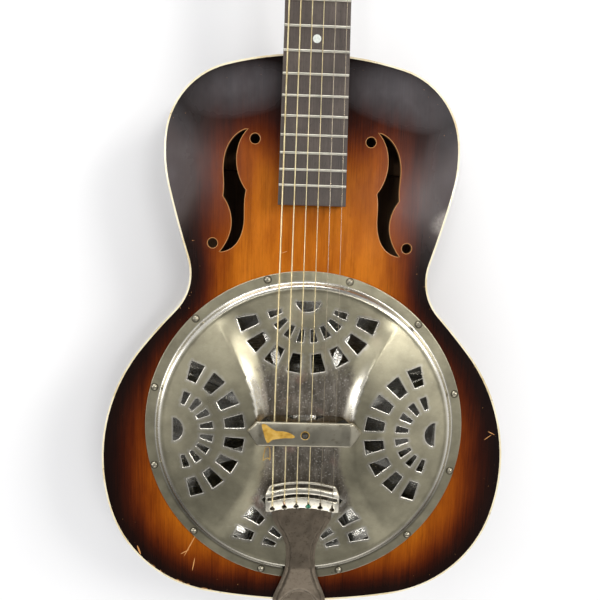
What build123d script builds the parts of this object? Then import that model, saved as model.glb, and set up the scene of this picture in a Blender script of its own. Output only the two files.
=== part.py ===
from build123d import *
from math import cos, pi, radians, sin, tan
import os

# A wooden resonator guitar lying on its back, in millimetres.
# Origin: the back's outer face, straight below the centre of the resonator.
# +Z points out of the front, +Y towards the head, +X to the treble side.

# ---------------------------------------------------------------- driving sizes
SCALE_LENGTH = 647.7
FRET_COUNT = 19
BRIDGE_Y = -2.0

BODY_DEPTH = 82.5
PLATE_TOP = 3.2
PLATE_BACK = 3.0
SIDE = 2.4
BINDING_WIDTH = 1.5
BINDING_DEPTH = 6.0
GLUE_GAP = 0.05

TAIL_Y = -163.2
# Half of the body's edge, from the tail to the neck: radius and sweep of each
# tangent arc. The waist's arc is hollow, and the last arc closes the outline.
OUTLINE_ARCS = (
    (489.0, 10.2),
    (110.0, 63.1),
    (165.3, 55.6),
    (577.5, 4.2),
    (-48.0, 60.6),
    (900.0, 4.0),
    (122.5, 20.3),
    (67.5, 67.6),
)

BOARD_TOP = 12.0
BOARD_THICK = 6.5
BOARD_END_Y = 198.0
BOARD_WIDTH_END = 57.0
BOARD_WIDTH_NUT = 46.8
NUT_LENGTH = 4.6
NUT_SPAN = 40.8
BRIDGE_SPAN = 53.5
FRET_CROWN = 1.1

STRING_RADII = (0.66, 0.53, 0.41, 0.31, 0.21, 0.17)
WOUND_COUNT = 4
STRING_LIFT_NUT = 13.5
STRING_LIFT_BRIDGE = 17.3

COVER_RADIUS = 142.2
COVER_SHEET = 1.0
COVER_STEP_RADIUS = 133.2
COVER_DOME_RADIUS = 129.2
COVER_STEP = 5.0
COVER_CROWN = 14.0
COVER_CROWN_RADIUS = 48.0
TROUGH_FLOOR = 5.5
SCREW_CIRCLE = 138.5
SCREW_COUNT = 12
FAN_RADIUS = 115.8
FAN_ANGLES = (-70, -50, -30, -10, 10, 30, 50, 70)

WELL_BORE = 134.3
WELL_WALL = 6.0
WELL_DEPTH = 60.0
LEDGE_Z = 70.5
CONE_RADIUS = 133.2
CONE_SHEET = 0.6

HEAD_TILT = 14.0
HEAD_LENGTH = 162.0
HEAD_THICK = 14.5
VENEER = 1.0
POST_RADIUS = 3.0
POST_V = (45.0, 85.0, 125.0)
POST_U = (24.0, 24.8, 26.0)
GEAR_TEETH = 14
TOOTH_PITCH = 2.02
WORM_RADIUS = 2.5
TUNER_PLATE = 1.2
RUN_CLEARANCE = 0.08

# ---------------------------------------------------------------- derived sizes
TOP_Z = BODY_DEPTH
NECK_Z = TOP_Z + BOARD_TOP - BOARD_THICK
NUT_Y = BRIDGE_Y + SCALE_LENGTH
TOP_UNDER = TOP_Z - PLATE_TOP
PALM_Z = TOP_Z + 22.0
GEAR_RADIUS = GEAR_TEETH * TOOTH_PITCH / (2 * pi)
GEAR_MESH = GEAR_RADIUS + WORM_RADIUS
LEAD_ANGLE = 180 / pi * TOOTH_PITCH / (2 * pi * WORM_RADIUS)
WORM_W = -HEAD_THICK - TUNER_PLATE - 3.4
GEAR_THICK = 3.0


def fret_y(number):
    return BRIDGE_Y + SCALE_LENGTH * 2 ** (-number / 12)


def board_half(y):
    """Half the fingerboard's width at a place along it."""
    share = (y - BOARD_END_Y) / (NUT_Y - BOARD_END_Y)
    return (BOARD_WIDTH_END + (BOARD_WIDTH_NUT - BOARD_WIDTH_END) * share) / 2


def heading(angle):
    """Unit vector that turns counter-clockwise from +X."""
    return Vector(cos(radians(angle)), sin(radians(angle)))


def reflected(edges):
    """The same edges on the other side of the centre line."""
    return [copy for edge in edges for copy in mirror(edge, about=Plane.YZ).edges()]


# ------------------------------------------------------------------ body shell
def outline(offset):
    """The body's edge moved outwards by offset, as one closed wire."""
    here = Vector(0, TAIL_Y - offset)
    angle = 0.0
    half = []
    for radius, sweep in OUTLINE_ARCS:
        turn = sweep if radius > 0 else -sweep
        reach = radius + offset
        centre = here + heading(angle + 90) * reach
        middle = centre - heading(angle + turn / 2 + 90) * reach
        end = centre - heading(angle + turn + 90) * reach
        half.append(ThreePointArc(here, middle, end))
        here = end
        angle += turn
    top_radius = here.X / sin(radians(180 - angle))
    top = Vector(0, here.Y + top_radius * (1 + cos(radians(angle))))
    closing = ThreePointArc(here, top, Vector(-here.X, here.Y))
    return Wire(half + [closing] + reflected(half))


def prism(face, low, high):
    """A flat face in the XY plane, raised between two heights."""
    return extrude(Pos(0, 0, low) * face, high - low, dir=(0, 0, 1))


def slab(offset, low, high):
    return prism(Face(outline(offset)), low, high)


def bar(x, y, z):
    """A box from three (low, high) pairs."""
    size = [high - low for low, high in (x, y, z)]
    middle = [(high + low) / 2 for low, high in (x, y, z)]
    return Pos(*middle) * Box(*size)


def disc(radius, low, high, x=0.0, y=0.0):
    return Pos(x, y, (low + high) / 2) * Cylinder(radius, high - low)


def ring_places(count, radius, first=0.0):
    step = 360 / count
    return [heading(first + step * i) * radius for i in range(count)]


def screw_places():
    return ring_places(SCREW_COUNT, SCREW_CIRCLE, 15)


def screw_holes(radius, low, high):
    return [disc(radius, low, high, p.X, p.Y) for p in screw_places()]


def sound_hole():
    """One f-shaped hole on the treble side, with its two round eyes."""
    upper = (55.5, 261.2)
    outer_knuckle = (75.9, 204.6)
    lower = (78.2, 156.7)
    inner_knuckle = (56.3, 210.0)
    edges = [
        Spline(upper, (63.4, 257.7), (72.5, 246.0), (75.9, 228.0), (75.2, 213.0), outer_knuckle),
        Spline(outer_knuckle, (70.0, 193.5), (68.2, 180.0), (71.5, 167.5), lower),
        Spline(lower, (64.5, 163.5), (57.8, 181.0), (57.6, 199.0), inner_knuckle),
        Spline(inner_knuckle, (63.3, 224.0), (64.8, 240.0), (61.5, 252.5), upper),
    ]
    slot = prism(Face(Wire(edges)), TOP_UNDER - 1, TOP_Z + 1)
    eyes = [disc(4.3, TOP_UNDER - 1, TOP_Z + 1, x, y) for x, y in ((49.3, 253.2), (84.2, 164.2))]
    return [slot] + eyes


def dovetail(gap):
    """The neck's tongue, wider at its inner end, grown by gap for its pocket."""
    root_y = 326.0
    tip_y = 302.0 - gap
    plan = Polyline(
        (-9 - gap, root_y),
        (-15 - gap, tip_y),
        (15 + gap, tip_y),
        (9 + gap, root_y),
        close=True,
    )
    return prism(make_face(plan), 20.0 - gap, NECK_Z + gap)


def make_soundboard():
    board = slab(-GLUE_GAP, TOP_UNDER, TOP_Z)
    cuts = [disc(WELL_BORE, TOP_UNDER - 1, TOP_Z + 1), dovetail(0.15)]
    cuts += screw_holes(1.15, TOP_UNDER - 1, TOP_Z + 1)
    treble = sound_hole()
    cuts += treble + [mirror(cut, about=Plane.YZ) for cut in treble]
    return board - cuts


def make_back():
    return slab(-GLUE_GAP, 0, PLATE_BACK)


def make_binding(low, high):
    loop = slab(BINDING_WIDTH, low, high) - slab(0, low - 1, high + 1)
    return loop - dovetail(0.15)


def make_sides():
    """Both bent sides, rebated for the bindings and halved on the centre line."""
    shell = slab(BINDING_WIDTH, PLATE_BACK, TOP_UNDER) - slab(BINDING_WIDTH - SIDE, 0, TOP_Z)
    rebate = slab(BINDING_WIDTH + 1, 0, TOP_Z) - slab(-GLUE_GAP, 0, TOP_Z)
    shell -= rebate & bar((-300, 300), (-300, 400), (0, BINDING_DEPTH + GLUE_GAP))
    shell -= rebate & bar((-300, 300), (-300, 400), (TOP_Z - BINDING_DEPTH - GLUE_GAP, TOP_Z))
    shell -= dovetail(0.15)
    shell -= tail_drillings(3.6, 1.35)
    bass = shell & bar((-300, -0.05), (-300, 400), (0, TOP_Z))
    treble = shell & bar((0.05, 300), (-300, 400), (0, TOP_Z))
    return bass, treble


INNER_WALL = BINDING_WIDTH - SIDE - GLUE_GAP
NECK_BLOCK = ((-38, 38), (280, 340))
TAIL_BLOCK = ((-32, 32), (-180, -143))


def block_space(block, gap):
    (x_low, x_high), (y_low, y_high) = block
    return bar((x_low - gap, x_high + gap), (y_low - gap, y_high + gap), (0, TOP_Z))


def make_block(block, cuts):
    (x, y) = block
    return (slab(INNER_WALL, PLATE_BACK, TOP_UNDER) & bar(x, y, (0, TOP_Z))) - cuts


def make_linings():
    """Strips that widen the glue joints between the sides and the two plates."""
    width = 6.0
    height = 12.0
    strips = []
    for low in (PLATE_BACK, TOP_UNDER - height):
        strip = slab(INNER_WALL, low, low + height) - slab(INNER_WALL - width, low - 1, low + height + 1)
        strip -= block_space(NECK_BLOCK, GLUE_GAP)
        strip -= block_space(TAIL_BLOCK, GLUE_GAP)
        strips.append(strip)
    return strips


def make_braces():
    """Two bars under the soundboard, clear of the f-holes, and four on the back."""
    clear = slab(INNER_WALL - 8, 0, TOP_Z)
    top_bars = [bar((-120, 120), (y - 4, y + 4), (TOP_UNDER - 13, TOP_UNDER)) for y in (147, 268)]
    back_bars = [
        bar((-180, 180), (y - 5, y + 5), (PLATE_BACK, PLATE_BACK + 12)) for y in (-90, 20, 130, 240)
    ]
    return [piece & clear for piece in top_bars + back_bars]


# ------------------------------------------------------------------- resonator
def make_soundwell():
    """The wooden ring that carries the cone, with round ports through its wall."""
    low = TOP_UNDER - WELL_DEPTH
    outer = WELL_BORE + WELL_WALL
    ledge_inner = 126.0
    ring = disc(outer, low, TOP_UNDER) - disc(WELL_BORE, low - 1, TOP_UNDER + 1)
    ledge = disc(WELL_BORE + 1, LEDGE_Z - 5, LEDGE_Z) - disc(ledge_inner, LEDGE_Z - 6, LEDGE_Z + 1)
    ports = [
        Pos(p.X, p.Y, low + 24) * Rot(0, 0, 30 * i) * Rot(0, 90, 0) * Cylinder(14, 30)
        for i, p in enumerate(ring_places(12, outer - 3))
    ]
    return (ring + ledge) - ports - screw_holes(1.15, TOP_UNDER - 11, TOP_UNDER + 1)


def revolved(points):
    """A solid turned about Z from (radius, height) corners."""
    return revolve(Plane.XZ * make_face(Polyline(*points, close=True)), Axis.Z)


def make_cone():
    """The spun aluminium cone: a flat rim, a valley and a raised centre."""
    upper = [(CONE_RADIUS, 0), (125.0, 0), (121.0, -3.5), (52.0, -25.0), (44.0, -25.0)]
    upper += [(9.0, -2.0), (2.1, -2.0)]
    skin = [(r, LEDGE_Z + CONE_SHEET + z) for r, z in upper]
    under = [(r, z - CONE_SHEET) for r, z in reversed(skin)]
    return revolved(skin + under)


SPIDER_TOP = TOP_Z + 3.5
SPIDER_SLOT = SPIDER_TOP - 4.0
SADDLE_Y = (BRIDGE_Y - 1.6, BRIDGE_Y + 1.6)


def spider_leg():
    """One cast leg along +X, from the hub to its foot on the cone's rim."""
    foot = LEDGE_Z + CONE_SHEET
    side = Polyline(
        (10, SPIDER_TOP - 1),
        (60, SPIDER_TOP - 3.5),
        (126, foot + 5),
        (131, foot + 4),
        (131, foot),
        (127, foot),
        (122, foot + 1.5),
        (60, SPIDER_TOP - 8.5),
        (10, SPIDER_TOP - 9),
        close=True,
    )
    plan = Polyline((5, -5), (131, -2.6), (131, 2.6), (5, 5), close=True)
    web = extrude(Plane.XZ * make_face(side), 10, both=True)
    return web & prism(make_face(plan), 0, 200)


def make_spider():
    body = disc(14, SPIDER_TOP - 10, SPIDER_TOP)
    leg = spider_leg()
    for i in range(8):
        body += Rot(0, 0, 22.5 + 45 * i) * leg
    body += bar((-35, 35), (BRIDGE_Y - 4, BRIDGE_Y + 4), (SPIDER_TOP - 8, SPIDER_TOP))
    body -= bar((-40, 40), SADDLE_Y, (SPIDER_SLOT, SPIDER_TOP + 1))
    return body - disc(2.1, 0, 200)


def make_saddles():
    """Two maple saddles in the spider's slot, one each side of its screw."""
    top = TOP_Z + STRING_LIFT_BRIDGE - 0.12
    low_y, high_y = SADDLE_Y
    y = (low_y + 0.02, high_y - 0.02)
    halves = [(-33, -3.4), (3.4, 33)]
    return [bar(x, y, (SPIDER_SLOT, top)) for x in halves]


def make_tension_screw():
    head_low = SPIDER_TOP
    shank = disc(2.0, LEDGE_Z - 8, head_low)
    head = disc(2.9, head_low, head_low + 2.6)
    slot = bar((-4, 4), (-0.4, 0.4), (head_low + 1.4, head_low + 4))
    return shank + head - slot


# ------------------------------------------------------------------ coverplate
def dome_solid(drop):
    """The coverplate's filled dome, lowered by drop all over for its inside."""
    inset = drop * 0.9
    return revolved([
        (0, TOP_Z - drop),
        (COVER_STEP_RADIUS - inset, TOP_Z - drop),
        (COVER_DOME_RADIUS - inset, TOP_Z + COVER_STEP - drop),
        (COVER_CROWN_RADIUS, TOP_Z + COVER_CROWN - drop),
        (0, TOP_Z + COVER_CROWN - drop),
    ])


def trough_cutter(grow):
    """The hourglass trough that the strings run through, from end to end."""
    waist = 37.0 + grow
    mouth = 62.0 + grow
    plan = Polyline(
        (-waist, 0),
        (-mouth, 150),
        (mouth, 150),
        (waist, 0),
        (mouth, -150),
        (-mouth, -150),
        close=True,
    )
    return prism(make_face(plan), TOP_Z + TROUGH_FLOOR - grow, TOP_Z + 40)


def fan_hole(near, near_width, far, far_width):
    """A tapered slot along +X, from one distance to another."""
    plan = Polyline(
        (near, -near_width / 2),
        (far, -far_width / 2),
        (far, far_width / 2),
        (near, near_width / 2),
        close=True,
    )
    return prism(make_face(plan), TOP_Z - 3, TOP_Z + 22)


def fan():
    """One fan of vents that spreads along +X from a half-moon at its centre."""
    inner = fan_hole(24.6, 3.0, 35.8, 6.1)
    outer = fan_hole(46.7, 8.0, 63.2, 12.4)
    moon = disc(10.9, TOP_Z - 3, TOP_Z + 22, -2.1) & bar((0, 20), (-20, 20), (0, 200))
    slots = [Rot(0, 0, angle) * hole for angle in FAN_ANGLES for hole in (inner, outer)]
    return slots + [moon]


def make_coverplate():
    dome = (dome_solid(0) - trough_cutter(0)) - (dome_solid(COVER_SHEET) - trough_cutter(COVER_SHEET))
    flange = disc(COVER_RADIUS, TOP_Z, TOP_Z + COVER_SHEET)
    flange -= disc(COVER_STEP_RADIUS - 1.0, TOP_Z - 1, TOP_Z + 2)
    plate = dome + flange
    cuts = screw_holes(1.25, TOP_Z - 1, TOP_Z + 3)
    cuts.append(bar((-40.5, 40.5), (-9.0, 15.0), (TOP_Z - 3, TOP_Z + 30)))
    for quarter in range(4):
        turn = Rot(0, 0, 90 * quarter)
        cuts += [turn * Pos(FAN_RADIUS, 0, 0) * Rot(0, 0, 180) * hole for hole in fan()]
    return plate - cuts


PALM_Y = 2.4
PALM_HALF = 11.2


def make_palm_rest():
    """The bent strap over the saddles, with pointed feet on the dome."""
    sheet = 1.3
    foot = TOP_Z + COVER_CROWN
    outer = Polyline((-51, foot), (-41, PALM_Z), (41, PALM_Z), (51, foot), close=True)
    inner = Polyline(
        (-51 + 2 * sheet, foot),
        (-41 + sheet, PALM_Z - sheet),
        (41 - sheet, PALM_Z - sheet),
        (51 - 2 * sheet, foot),
        close=True,
    )
    strap = extrude(Plane.XZ * make_face(outer), 20, both=True)
    strap -= extrude(Plane.XZ * make_face(inner), 30, both=True)
    plan = Polyline(
        (-51, PALM_Y),
        (-42, PALM_Y + PALM_HALF),
        (42, PALM_Y + PALM_HALF),
        (51, PALM_Y),
        (42, PALM_Y - PALM_HALF),
        (-42, PALM_Y - PALM_HALF),
        close=True,
    )
    strap &= prism(make_face(plan), 0, 200)
    for side in (-1, 1):
        edge = PALM_Y + side * PALM_HALF
        span = (min(edge, edge - side * sheet), max(edge, edge - side * sheet))
        strap += bar((-39, 39), span, (PALM_Z - 2.2, PALM_Z))
    return strap - disc(3.0, PALM_Z - 5, PALM_Z + 5, 0, 1.6)


def round_head_screw(head_radius, head_height, shank_radius, length):
    """A slotted round-head screw, head up, seated at z = 0."""
    ball = (head_radius ** 2 + head_height ** 2) / (2 * head_height)
    head = Pos(0, 0, head_height - ball) * Sphere(ball)
    head &= bar((-9, 9), (-9, 9), (0, 9))
    head -= bar((-9, 9), (-0.3, 0.3), (head_height - 0.8, 9))
    return head + disc(shank_radius, -length, 0.01)


def make_cover_screws():
    screw = round_head_screw(2.8, 1.9, 1.1, 11)
    return [
        Pos(p.X, p.Y, TOP_Z + COVER_SHEET) * Rot(0, 0, 37 * i) * screw
        for i, p in enumerate(screw_places())
    ]


# ------------------------------------------------------------------- tailpiece
TAIL_EDGE_Y = -165.1
STRAP_SHEET = 1.4
COMB_Z = TOP_Z + 12.8
COMB_SHEET = 2.0
END_PIN_Z = 41.0


def strap_plan():
    """The strap from above: shoulders, a narrow waist and a flared foot."""
    edge = [(27.0, -72.0), (26.8, -81.0), (18.0, -95.0), (12.8, -118.0), (14.2, -132.0), (24.0, -160.0)]
    right = Spline(*edge)
    start = Line((27.0, -72.0), (-27.0, -72.0))
    foot = Polyline((24.0, -160.0), (24.0, -170.0), (-24.0, -170.0), (-24.0, -160.0))
    return Face(Wire([right, start] + reflected([right]) + foot.edges()))


def make_strap():
    """A stamped strap that bends over the tail edge down to the end pin."""
    under = [(-58, 7.2), (-128, 6.4), (-153, 1.6), (TAIL_EDGE_Y, 0.8)]
    path = [(y, TOP_Z + z) for y, z in under] + [(TAIL_EDGE_Y, 20)]
    outer = [(TAIL_EDGE_Y - STRAP_SHEET, 20), (TAIL_EDGE_Y - STRAP_SHEET, TOP_Z + 1.9)]
    over = [(y, TOP_Z + z + STRAP_SHEET) for y, z in ((-154, 1.7), (-128.5, 6.5), (-58, 7.2))]
    side = extrude(Plane.YZ * make_face(Polyline(*(path + outer + over), close=True)), 40, both=True)
    flat = side & prism(strap_plan(), 0, 200)
    low = TOP_Z + 0.5
    flat -= bar((-60, 60), (-200, -165), (0, low))
    drop = Polyline((-24, low), (24, low), (13, 28), (8, 22), (-8, 22), (-13, 28), close=True)
    hang = side & extrude(Plane.XZ.offset(150) * make_face(drop), 30, both=True)
    hang &= bar((-60, 60), (-180, TAIL_EDGE_Y), (0, low))
    strap = flat + hang
    window = bar((-23.5, 23.5), (-71, -62), (0, 200))
    strap -= window
    return strap - tail_drillings(3.6, 1.6)


def tail_screw_places():
    return ((-8, 62), (8, 62), (0, 28))


def along_tail(radius, x, z, near=-120.0, far=-190.0):
    """A cylinder along Y at one place on the tail."""
    return Pos(x, (near + far) / 2, z) * Rot(90, 0, 0) * Cylinder(radius, near - far)


def tail_drillings(pin_radius, screw_radius):
    drilled = [along_tail(pin_radius, 0, END_PIN_Z)]
    return drilled + [along_tail(screw_radius, x, z) for x, z in tail_screw_places()]


def make_tail_screws():
    screw = round_head_screw(2.6, 1.6, 1.25, 14)
    seat = TAIL_EDGE_Y - STRAP_SHEET
    return [Pos(x, seat, z) * Rot(90, 0, 0) * screw for x, z in tail_screw_places()]


def make_end_pin():
    """The turned pin that takes a strap: a tapered shank, a waist and a knob."""
    seat = TAIL_EDGE_Y - STRAP_SHEET
    shank = [(0, -18), (3.2, -18), (3.4, 0)]
    button = [(5.2, 0), (5.2, 1.6), (3.4, 4), (3.4, 6), (7, 9), (7, 11.5), (5, 14), (0, 14.6)]
    pin = revolved(shank + button)
    return Pos(0, seat, END_PIN_Z) * Rot(90, 0, 0) * pin


def comb_arch(top, drop):
    """An arch across the comb: its middle at y = top, its ends lower by drop."""
    half = 31.5
    return ThreePointArc((-half, top - drop), (0, top), (half, top - drop))


def comb_band(top, bottom, drop, half):
    """The stretch of the comb between two arches, out to x = half."""
    upper = comb_arch(top, drop)
    lower = comb_arch(bottom, drop)
    ends = [Line(upper @ 0, lower @ 0), Line(upper @ 1, lower @ 1)]
    face = Face(Wire([upper, lower] + ends))
    band = prism(face, COMB_Z, COMB_Z + COMB_SHEET)
    return band & bar((-half, half), (-100, 0), (0, 200))


def make_comb():
    """The plated head of the tailpiece: two arched bars and a row of keyholes."""
    comb = comb_band(-43.6, -69.0, 5.0, 31.5)
    comb -= comb_band(-46.0, -48.4, 5.0, 24.0)
    comb -= comb_band(-54.6, -57.6, 5.0, 28.5)
    corner = 9.0
    for side in (-1, 1):
        place = (side * 31.5, -48.6)
        tip = Polyline(place, (side * (31.5 - corner), -44.0), (side * 40, -40.0), close=True)
        comb -= prism(make_face(tip), 0, 200)
    for x in comb_string_places():
        y = -67.0 - 3.0 * (x / 27) ** 2
        comb -= disc(1.9, 0, 200, x, y)
        comb -= bar((x - 0.75, x + 0.75), (y, y + 7), (0, 200))
    lip = comb_band(-66.9, -69.0, 5.0, 31.5) & bar((-40, 40), (-100, 0), (0, 200))
    feet = [bar((x - 3, x + 3), (-74.2, -72.0), (TOP_Z + 8.6, COMB_Z + 0.5)) for x in (-21, 21)]
    return comb + [lip] + feet


# --------------------------------------------------------------------- strings
def string_x(index, span):
    return -span / 2 + span * index / 5


def comb_string_places():
    return [string_x(i, 53.3) for i in range(6)]


def make_string(index):
    """One string: ball end, comb, saddle, nut, and its turns round the post."""
    radius = STRING_RADII[index]
    x_comb = comb_string_places()[index]
    y_key = -67.0 - 3.0 * (x_comb / 27) ** 2
    ball = Vector(x_comb, y_key, TOP_Z + 10.7)
    over_comb = Vector(x_comb, y_key + 1.4, COMB_Z + COMB_SHEET + radius + 0.15)
    rest = Vector(string_x(index, BRIDGE_SPAN), BRIDGE_Y, TOP_Z + STRING_LIFT_BRIDGE + radius)
    nut = Vector(string_x(index, NUT_SPAN), NUT_Y + 0.5, TOP_Z + STRING_LIFT_NUT + radius)
    nut_back = nut + Vector(0, NUT_LENGTH - 0.4, -0.55)
    touch, coil = post_coil(index)
    path = [ball, over_comb, rest, nut, nut_back, touch]
    runs = [rod(a, b, radius) for a, b in zip(path, path[1:])]
    bends = [Pos(*p) * Sphere(radius) for p in path[1:-1]]
    solid = runs[0]
    for piece in runs[1:] + bends + coil:
        solid += piece
    return solid + Pos(*ball) * Sphere(1.85)


def rod(start, end, radius):
    along = end - start
    return Plane(origin=start, z_dir=along) * Pos(0, 0, along.length / 2) * Cylinder(radius, along.length)


# ------------------------------------------------------------------ neck, head
HEAD_PLANE = Plane(origin=(0, NUT_Y + NUT_LENGTH + 0.2, NECK_Z), x_dir=(1, 0, 0),
                   z_dir=(0, sin(radians(HEAD_TILT)), cos(radians(HEAD_TILT))))


def head_solid(offset, low, high, start=0.0):
    """The head's outline, shrunk by offset, between two heights on the head."""
    waist = BOARD_WIDTH_NUT / 2 - offset
    shoulder = 33.0 - offset
    crest = 37.0 - offset
    end = HEAD_LENGTH - offset
    ends = [(0, 1), (0.03, 1)]
    side = [
        Spline((waist, start), (waist + 1.5, 9), (shoulder - 1, 24), (shoulder, 34), tangents=ends),
        Line((shoulder, 34), (crest, end - 8)),
        ThreePointArc((crest, end - 8), (crest - 3, end - 2), (crest - 9, end - 1)),
    ]
    top = ThreePointArc((crest - 9, end - 1), (0, end + 4), (9 - crest, end - 1))
    foot = Line((waist, start), (-waist, start))
    face = Face(Wire(side + [top] + reflected(side) + [foot]))
    return HEAD_PLANE * prism(face, low, high)


def neck_section(y, depth):
    """A D-shaped section of the neck's shaft at one place along it."""
    half = board_half(y) - 0.1
    wall = 3.0
    bottom = NECK_Z - depth
    plane = Plane(origin=(0, y, 0), x_dir=(-1, 0, 0), z_dir=(0, 1, 0))
    shape = [
        Line((-half, NECK_Z), (half, NECK_Z)),
        Line((half, NECK_Z), (half, NECK_Z - wall)),
        Spline(
            (half, NECK_Z - wall),
            (half * 0.66, NECK_Z - wall - (depth - wall) * 0.76),
            (0, bottom),
            (-half * 0.66, NECK_Z - wall - (depth - wall) * 0.76),
            (-half, NECK_Z - wall),
            tangents=[(-0.12, -1), (-0.12, 1)],
        ),
        Line((-half, NECK_Z - wall), (-half, NECK_Z)),
    ]
    return plane * Face(Wire(shape))


def make_heel():
    """The heel: its side profile crossed with a front view that tapers down."""
    foot_z = 9.0
    profile = [
        Line((318, NECK_Z), (318, foot_z)),
        Line((318, foot_z), (334, foot_z)),
        Spline((334, foot_z), (343, 35), (362, 58), (398, NECK_Z - 17.5), tangents=[(0.3, 1), (1, 0.12)]),
        Line((398, NECK_Z - 17.5), (398, NECK_Z - 1)),
        Line((398, NECK_Z - 1), (318, NECK_Z)),
    ]
    side = extrude(Plane.YZ * Face(Wire(profile)), 60, both=True)
    half = board_half(BRIDGE_Y + SCALE_LENGTH / 2) - 0.1
    front = [
        Line((-half, NECK_Z), (half, NECK_Z)),
        Spline((half, NECK_Z), (half - 2, 62), (17, 28), (12, foot_z), tangents=[(0, -1), (-0.1, -1)]),
        Line((12, foot_z), (-12, foot_z)),
        Spline((-12, foot_z), (-17, 28), (2 - half, 62), (-half, NECK_Z), tangents=[(-0.1, 1), (0, 1)]),
    ]
    return side & extrude(Plane.XZ.offset(-360) * Face(Wire(front)), 60, both=True)


def make_neck():
    """Heel, shaft, the tongue under the fingerboard and the tilted head."""
    shaft_start = 340.0
    shaft_end = NUT_Y + NUT_LENGTH + 1.0
    shaft = loft([neck_section(shaft_start, 19.0), neck_section(shaft_end, 15.0)])
    neck = shaft + make_heel()
    tongue = Polyline(
        (-board_half(BOARD_END_Y) + 0.4, BOARD_END_Y + 1),
        (board_half(BOARD_END_Y) - 0.4, BOARD_END_Y + 1),
        (board_half(330) - 0.4, 330),
        (-board_half(330) + 0.4, 330),
        close=True,
    )
    neck += prism(make_face(tongue), TOP_Z + GLUE_GAP, NECK_Z)
    neck += head_solid(0, -HEAD_THICK, 0, start=-4.0)
    neck -= bar((-60, 60), (NUT_Y + NUT_LENGTH + 0.2, NUT_Y + 14), (NECK_Z, NECK_Z + 20))
    neck -= bar((-60, 60), (NUT_Y - 40, NUT_Y + NUT_LENGTH + 0.2), (NECK_Z, NECK_Z + 20))
    neck -= slab(BINDING_WIDTH + 0.1, -5, TOP_Z + 0.04)
    neck += dovetail(0)
    return neck - head_drillings(POST_RADIUS + 1.7, 1.05)


def make_fingerboard():
    ends = [(BOARD_END_Y, BOARD_WIDTH_END / 2), (NUT_Y - GLUE_GAP, BOARD_WIDTH_NUT / 2)]
    (y0, h0), (y1, h1) = ends
    plan = Polyline((-h0, y0), (h0, y0), (h1, y1), (-h1, y1), close=True)
    board = prism(make_face(plan), NECK_Z, NECK_Z + BOARD_THICK)
    top = TOP_Z + BOARD_TOP
    slots = [
        bar((-40, 40), (fret_y(n) - 0.3, fret_y(n) + 0.3), (top - 2.1, top + 1))
        for n in range(1, FRET_COUNT + 1)
    ]
    holes = [disc(3.4, top - 1.5, top + 1, 0, y) for y in dot_places()]
    return board - slots - holes


def dot_places():
    """Middle of the spaces behind the marked frets."""
    return [(fret_y(n) + fret_y(n - 1)) / 2 for n in (5, 7, 10, 12)]


def make_frets():
    top = TOP_Z + BOARD_TOP
    frets = []
    for n in range(1, FRET_COUNT + 1):
        y = fret_y(n)
        half = board_half(y) - 0.3
        dome = ThreePointArc((-1.05, 0), (0, FRET_CROWN), (1.05, 0))
        crown = Face(Wire([Line((-1.05, 0), (1.05, 0)), dome]))
        bead = extrude(Plane.YZ * Pos(y, top, 0) * crown, half, both=True)
        frets.append(bead + bar((-half, half), (y - 0.25, y + 0.25), (top - 2.0, top)))
    return frets


def make_dots():
    top = TOP_Z + BOARD_TOP
    return [disc(3.35, top - 1.45, top, 0, y) for y in dot_places()]


def make_nut():
    half = BOARD_WIDTH_NUT / 2
    block = bar((-half, half), (NUT_Y, NUT_Y + NUT_LENGTH), (NECK_Z, TOP_Z + STRING_LIFT_NUT + 0.7))
    block = fillet(block.edges().filter_by(Axis.X).group_by(Axis.Z)[-1], 0.9)
    for i, radius in enumerate(STRING_RADII):
        groove = radius + 0.06
        x = string_x(i, NUT_SPAN)
        floor = TOP_Z + STRING_LIFT_NUT - 0.7
        block -= bar((x - groove, x + groove), (NUT_Y - 1, NUT_Y + NUT_LENGTH + 1), (floor, floor + 5))
    return block


def make_veneer():
    return head_solid(0, GLUE_GAP, VENEER, start=4.0) - head_drillings(POST_RADIUS + 1.7, 0.5)


# ---------------------------------------------------------------------- tuners
def tuner_place(index):
    """Where a string's post stands on the head: side, then distances across and along."""
    side = -1 if index < 3 else 1
    order = index if index < 3 else 5 - index
    return side, side * POST_U[order], POST_V[order]


def plate_screw_places():
    return [(side * 24.5, v) for side in (-1, 1) for v in (29, 65, 105, 141)]


def head_drillings(post_radius, screw_radius):
    holes = []
    for index in range(6):
        _, u, v = tuner_place(index)
        holes.append(HEAD_PLANE * disc(post_radius, -HEAD_THICK - 5, 9, u, v))
    for u, v in plate_screw_places():
        holes.append(HEAD_PLANE * disc(screw_radius, -HEAD_THICK - 5, -HEAD_THICK + 9, u, v))
    return holes


def worm_v(v):
    """The worm lies on the far side of its post."""
    return v + GEAR_MESH


def make_tuner_plate(side):
    """A stamped plate with two lugs for each worm's shaft."""
    back = -HEAD_THICK
    low, high = sorted((side * 15.5, side * 32.5))
    plate = bar((low, high), (24, 148), (back - TUNER_PLATE, back))
    for index in range(6):
        own_side, u, v = tuner_place(index)
        if own_side == side:
            plate -= disc(POST_RADIUS + RUN_CLEARANCE, back - 9, back + 1, u, v)
            for inner, outer in ((-6.2, -4.8), (4.8, 6.2)):
                along = (worm_v(v) - 2.9, worm_v(v) + 2.9)
                plate += bar((u + inner, u + outer), along, (WORM_W - 2.6, back - TUNER_PLATE))
            plate -= worm_bore(index, 1.6 + RUN_CLEARANCE)
    for u, v in plate_screw_places():
        if u * side > 0:
            plate -= disc(1.05, back - 9, back + 1, u, v)
    return HEAD_PLANE * plate


def worm_bore(index, radius):
    _, u, v = tuner_place(index)
    return Pos(u, worm_v(v), WORM_W) * Rot(0, 90, 0) * Cylinder(radius, 16)


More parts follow.
